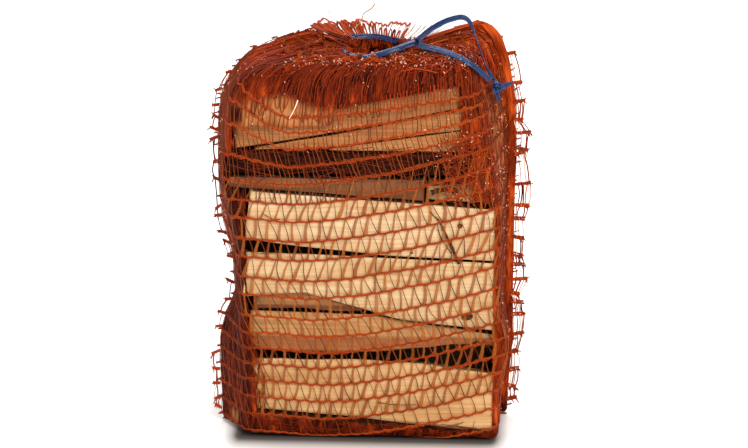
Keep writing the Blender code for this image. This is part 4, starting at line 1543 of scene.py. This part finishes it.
def dress_debris(tape_tree):
    """Knots, bark shreds on the wood, and straws and fibres caught in the net."""
    knot_finish, tree = new_material("knot_wood")
    place = add_node(tree, "ShaderNodeTexCoord")
    mottle = add_node(tree, "ShaderNodeTexNoise", {"Vector": place.outputs["Object"], "Scale": 700.0})
    colour = ramp(tree, mottle.outputs["Fac"], ((0.35, "#1E0C06"), (0.55, "#52301A"), (0.8, "#9A6A40")))
    close_material(
        tree, colour.outputs["Color"], 0.9, height=mottle.outputs["Fac"], bump=0.5, distance=0.0004,
        Specular_IOR_Level=0.1,
    )
    wood_knots("wood_knots", knot_finish)
    chance = random.Random("shreds")
    shreds = Guide()
    for places, width in SHREDS:
        run = smooth_route(places, 2.0)
        widths = [width * chance.uniform(0.5, 1.1) for _ in run]
        shreds.add(run, FORWARD, widths, 0.5)
    piece = shreds.grow("bark_shreds", tape_tree, {"Thinness": 0.25, "Material": knot_finish})
    settle(piece, "bark")
    strays = Guide()
    for width, shade, places in STRAYS:
        run = smooth_route(places, 1.2)
        widths = [width * (1 - 0.5 * i / len(run)) for i in range(len(run))]
        strays.add(run, FORWARD, widths, shade)
    width, start, radius, rise = CURLY_HAIR
    curl = []
    for step in range(40):
        turn = math.pi * step / 9
        spot = Vector((math.cos(turn) * radius * 0.5, math.sin(turn) * 0.8, math.sin(turn) * radius * 0.6))
        curl.append(Vector(start) + spot + Vector((step * 0.26, 0, rise * math.sin(step * 0.13))))
    strays.add(curl, FORWARD, width, 0.0)
    piece = strays.grow("loose_straws", tape_tree, {"Thinness": 0.5, "Material": dry_straw()})
    settle(piece, "split_wood")


# Stage


def set_camera():
    """A long lens, a little above the bag and to its right."""
    back = Vector((
        math.sin(CAMERA_AZIMUTH) * math.cos(CAMERA_HEIGHT),
        -math.cos(CAMERA_AZIMUTH) * math.cos(CAMERA_HEIGHT),
        math.sin(CAMERA_HEIGHT),
    ))
    data = bpy.data.cameras.new("camera")
    data.lens = LENS_MM
    data.sensor_width = SENSOR_MM
    camera = link(bpy.data.objects.new("camera", data))
    camera.location = CAMERA_TARGET + back * CAMERA_DISTANCE
    camera.rotation_euler = (-back).to_track_quat("-Z", "Y").to_euler()
    bpy.context.scene.camera = camera


def area_light(name, place, aim, size, power, colour):
    """A rectangular light that aims at a place."""
    data = bpy.data.lights.new(name, "AREA")
    data.shape = "RECTANGLE"
    data.size, data.size_y = size
    data.energy = power
    data.color = linear(colour)[:3]
    light = link(bpy.data.objects.new(name, data))
    light.location = place
    light.rotation_euler = (Vector(aim) - Vector(place)).to_track_quat("-Z", "Y").to_euler()


def set_stage():
    """A white floor with a soft dark shadow painted round the bag's foot, studio light from the upper right
    front, a weak fill from the left, and a wash on the floor behind."""
    made, tree = new_material("white_floor")
    place = add_node(tree, "ShaderNodeTexCoord")
    folded = add_node(tree, "ShaderNodeVectorMath", {0: place.outputs["Object"]}, operation="ABSOLUTE")
    beyond = add_node(
        tree, "ShaderNodeVectorMath", {0: folded, 1: SHADE_CORE}, operation="SUBTRACT"
    )
    outside = add_node(tree, "ShaderNodeVectorMath", {0: beyond, 1: (0, 0, 0)}, operation="MAXIMUM")
    spread = add_node(tree, "ShaderNodeVectorMath", {0: outside, 1: SHADE_FADE}, operation="MULTIPLY")
    reach = add_node(tree, "ShaderNodeVectorMath", {0: spread}, operation="LENGTH")
    # Painted shadow: the floor's colour is dark at the bag's foot and fades to white away from it
    colour = ramp(
        tree, reach.outputs["Value"],
        ((0.0, "#100C0A"), (0.3, "#544E4A"), (0.6, "#C4C0BE"), (1.0, "#F7F7F7")),
    )
    close_material(tree, colour.outputs["Color"], 0.9)
    floor = add_mesh("floor", [(-9, -9, 0), (9, -9, 0), (9, 9, 0), (-9, 9, 0)], [(0, 1, 2, 3)], made, False)
    world = bpy.data.worlds.new("white_surround")
    bpy.context.scene.world = world
    world.use_nodes = True
    surround = world.node_tree.nodes["Background"]
    surround.inputs["Color"].default_value = (1, 1, 1, 1)
    surround.inputs["Strength"].default_value = 0.85
    area_light("key", (0.75, -1.5, 1.35), (0, 0, 0.15), (0.6, 0.6), 27.0, "#FFFAF2")
    area_light("left_fill", (-1.5, -0.35, 0.55), (0, 0, 0.18), (0.8, 0.8), 9.0, "#FFF4E8")
    area_light("floor_wash", (0, 1.6, 2.2), (0, 0.9, 0), (3.0, 1.6), 60.0, "#FFFFFF")
    bpy.context.scene.view_settings.view_transform = "Standard"


set_camera()
set_stage()
spruce_finish = split_spruce()
bark_finish = spruce_bark()
for node_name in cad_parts:
    if node_name.startswith("kindling_"):
        dress_stick(node_name, spruce_finish, bark_finish)
rows = knitted_row_tree()
tapes = flat_tape_tree()
dress_net(rows, tapes)
dress_drawstring()
dress_debris(tapes)
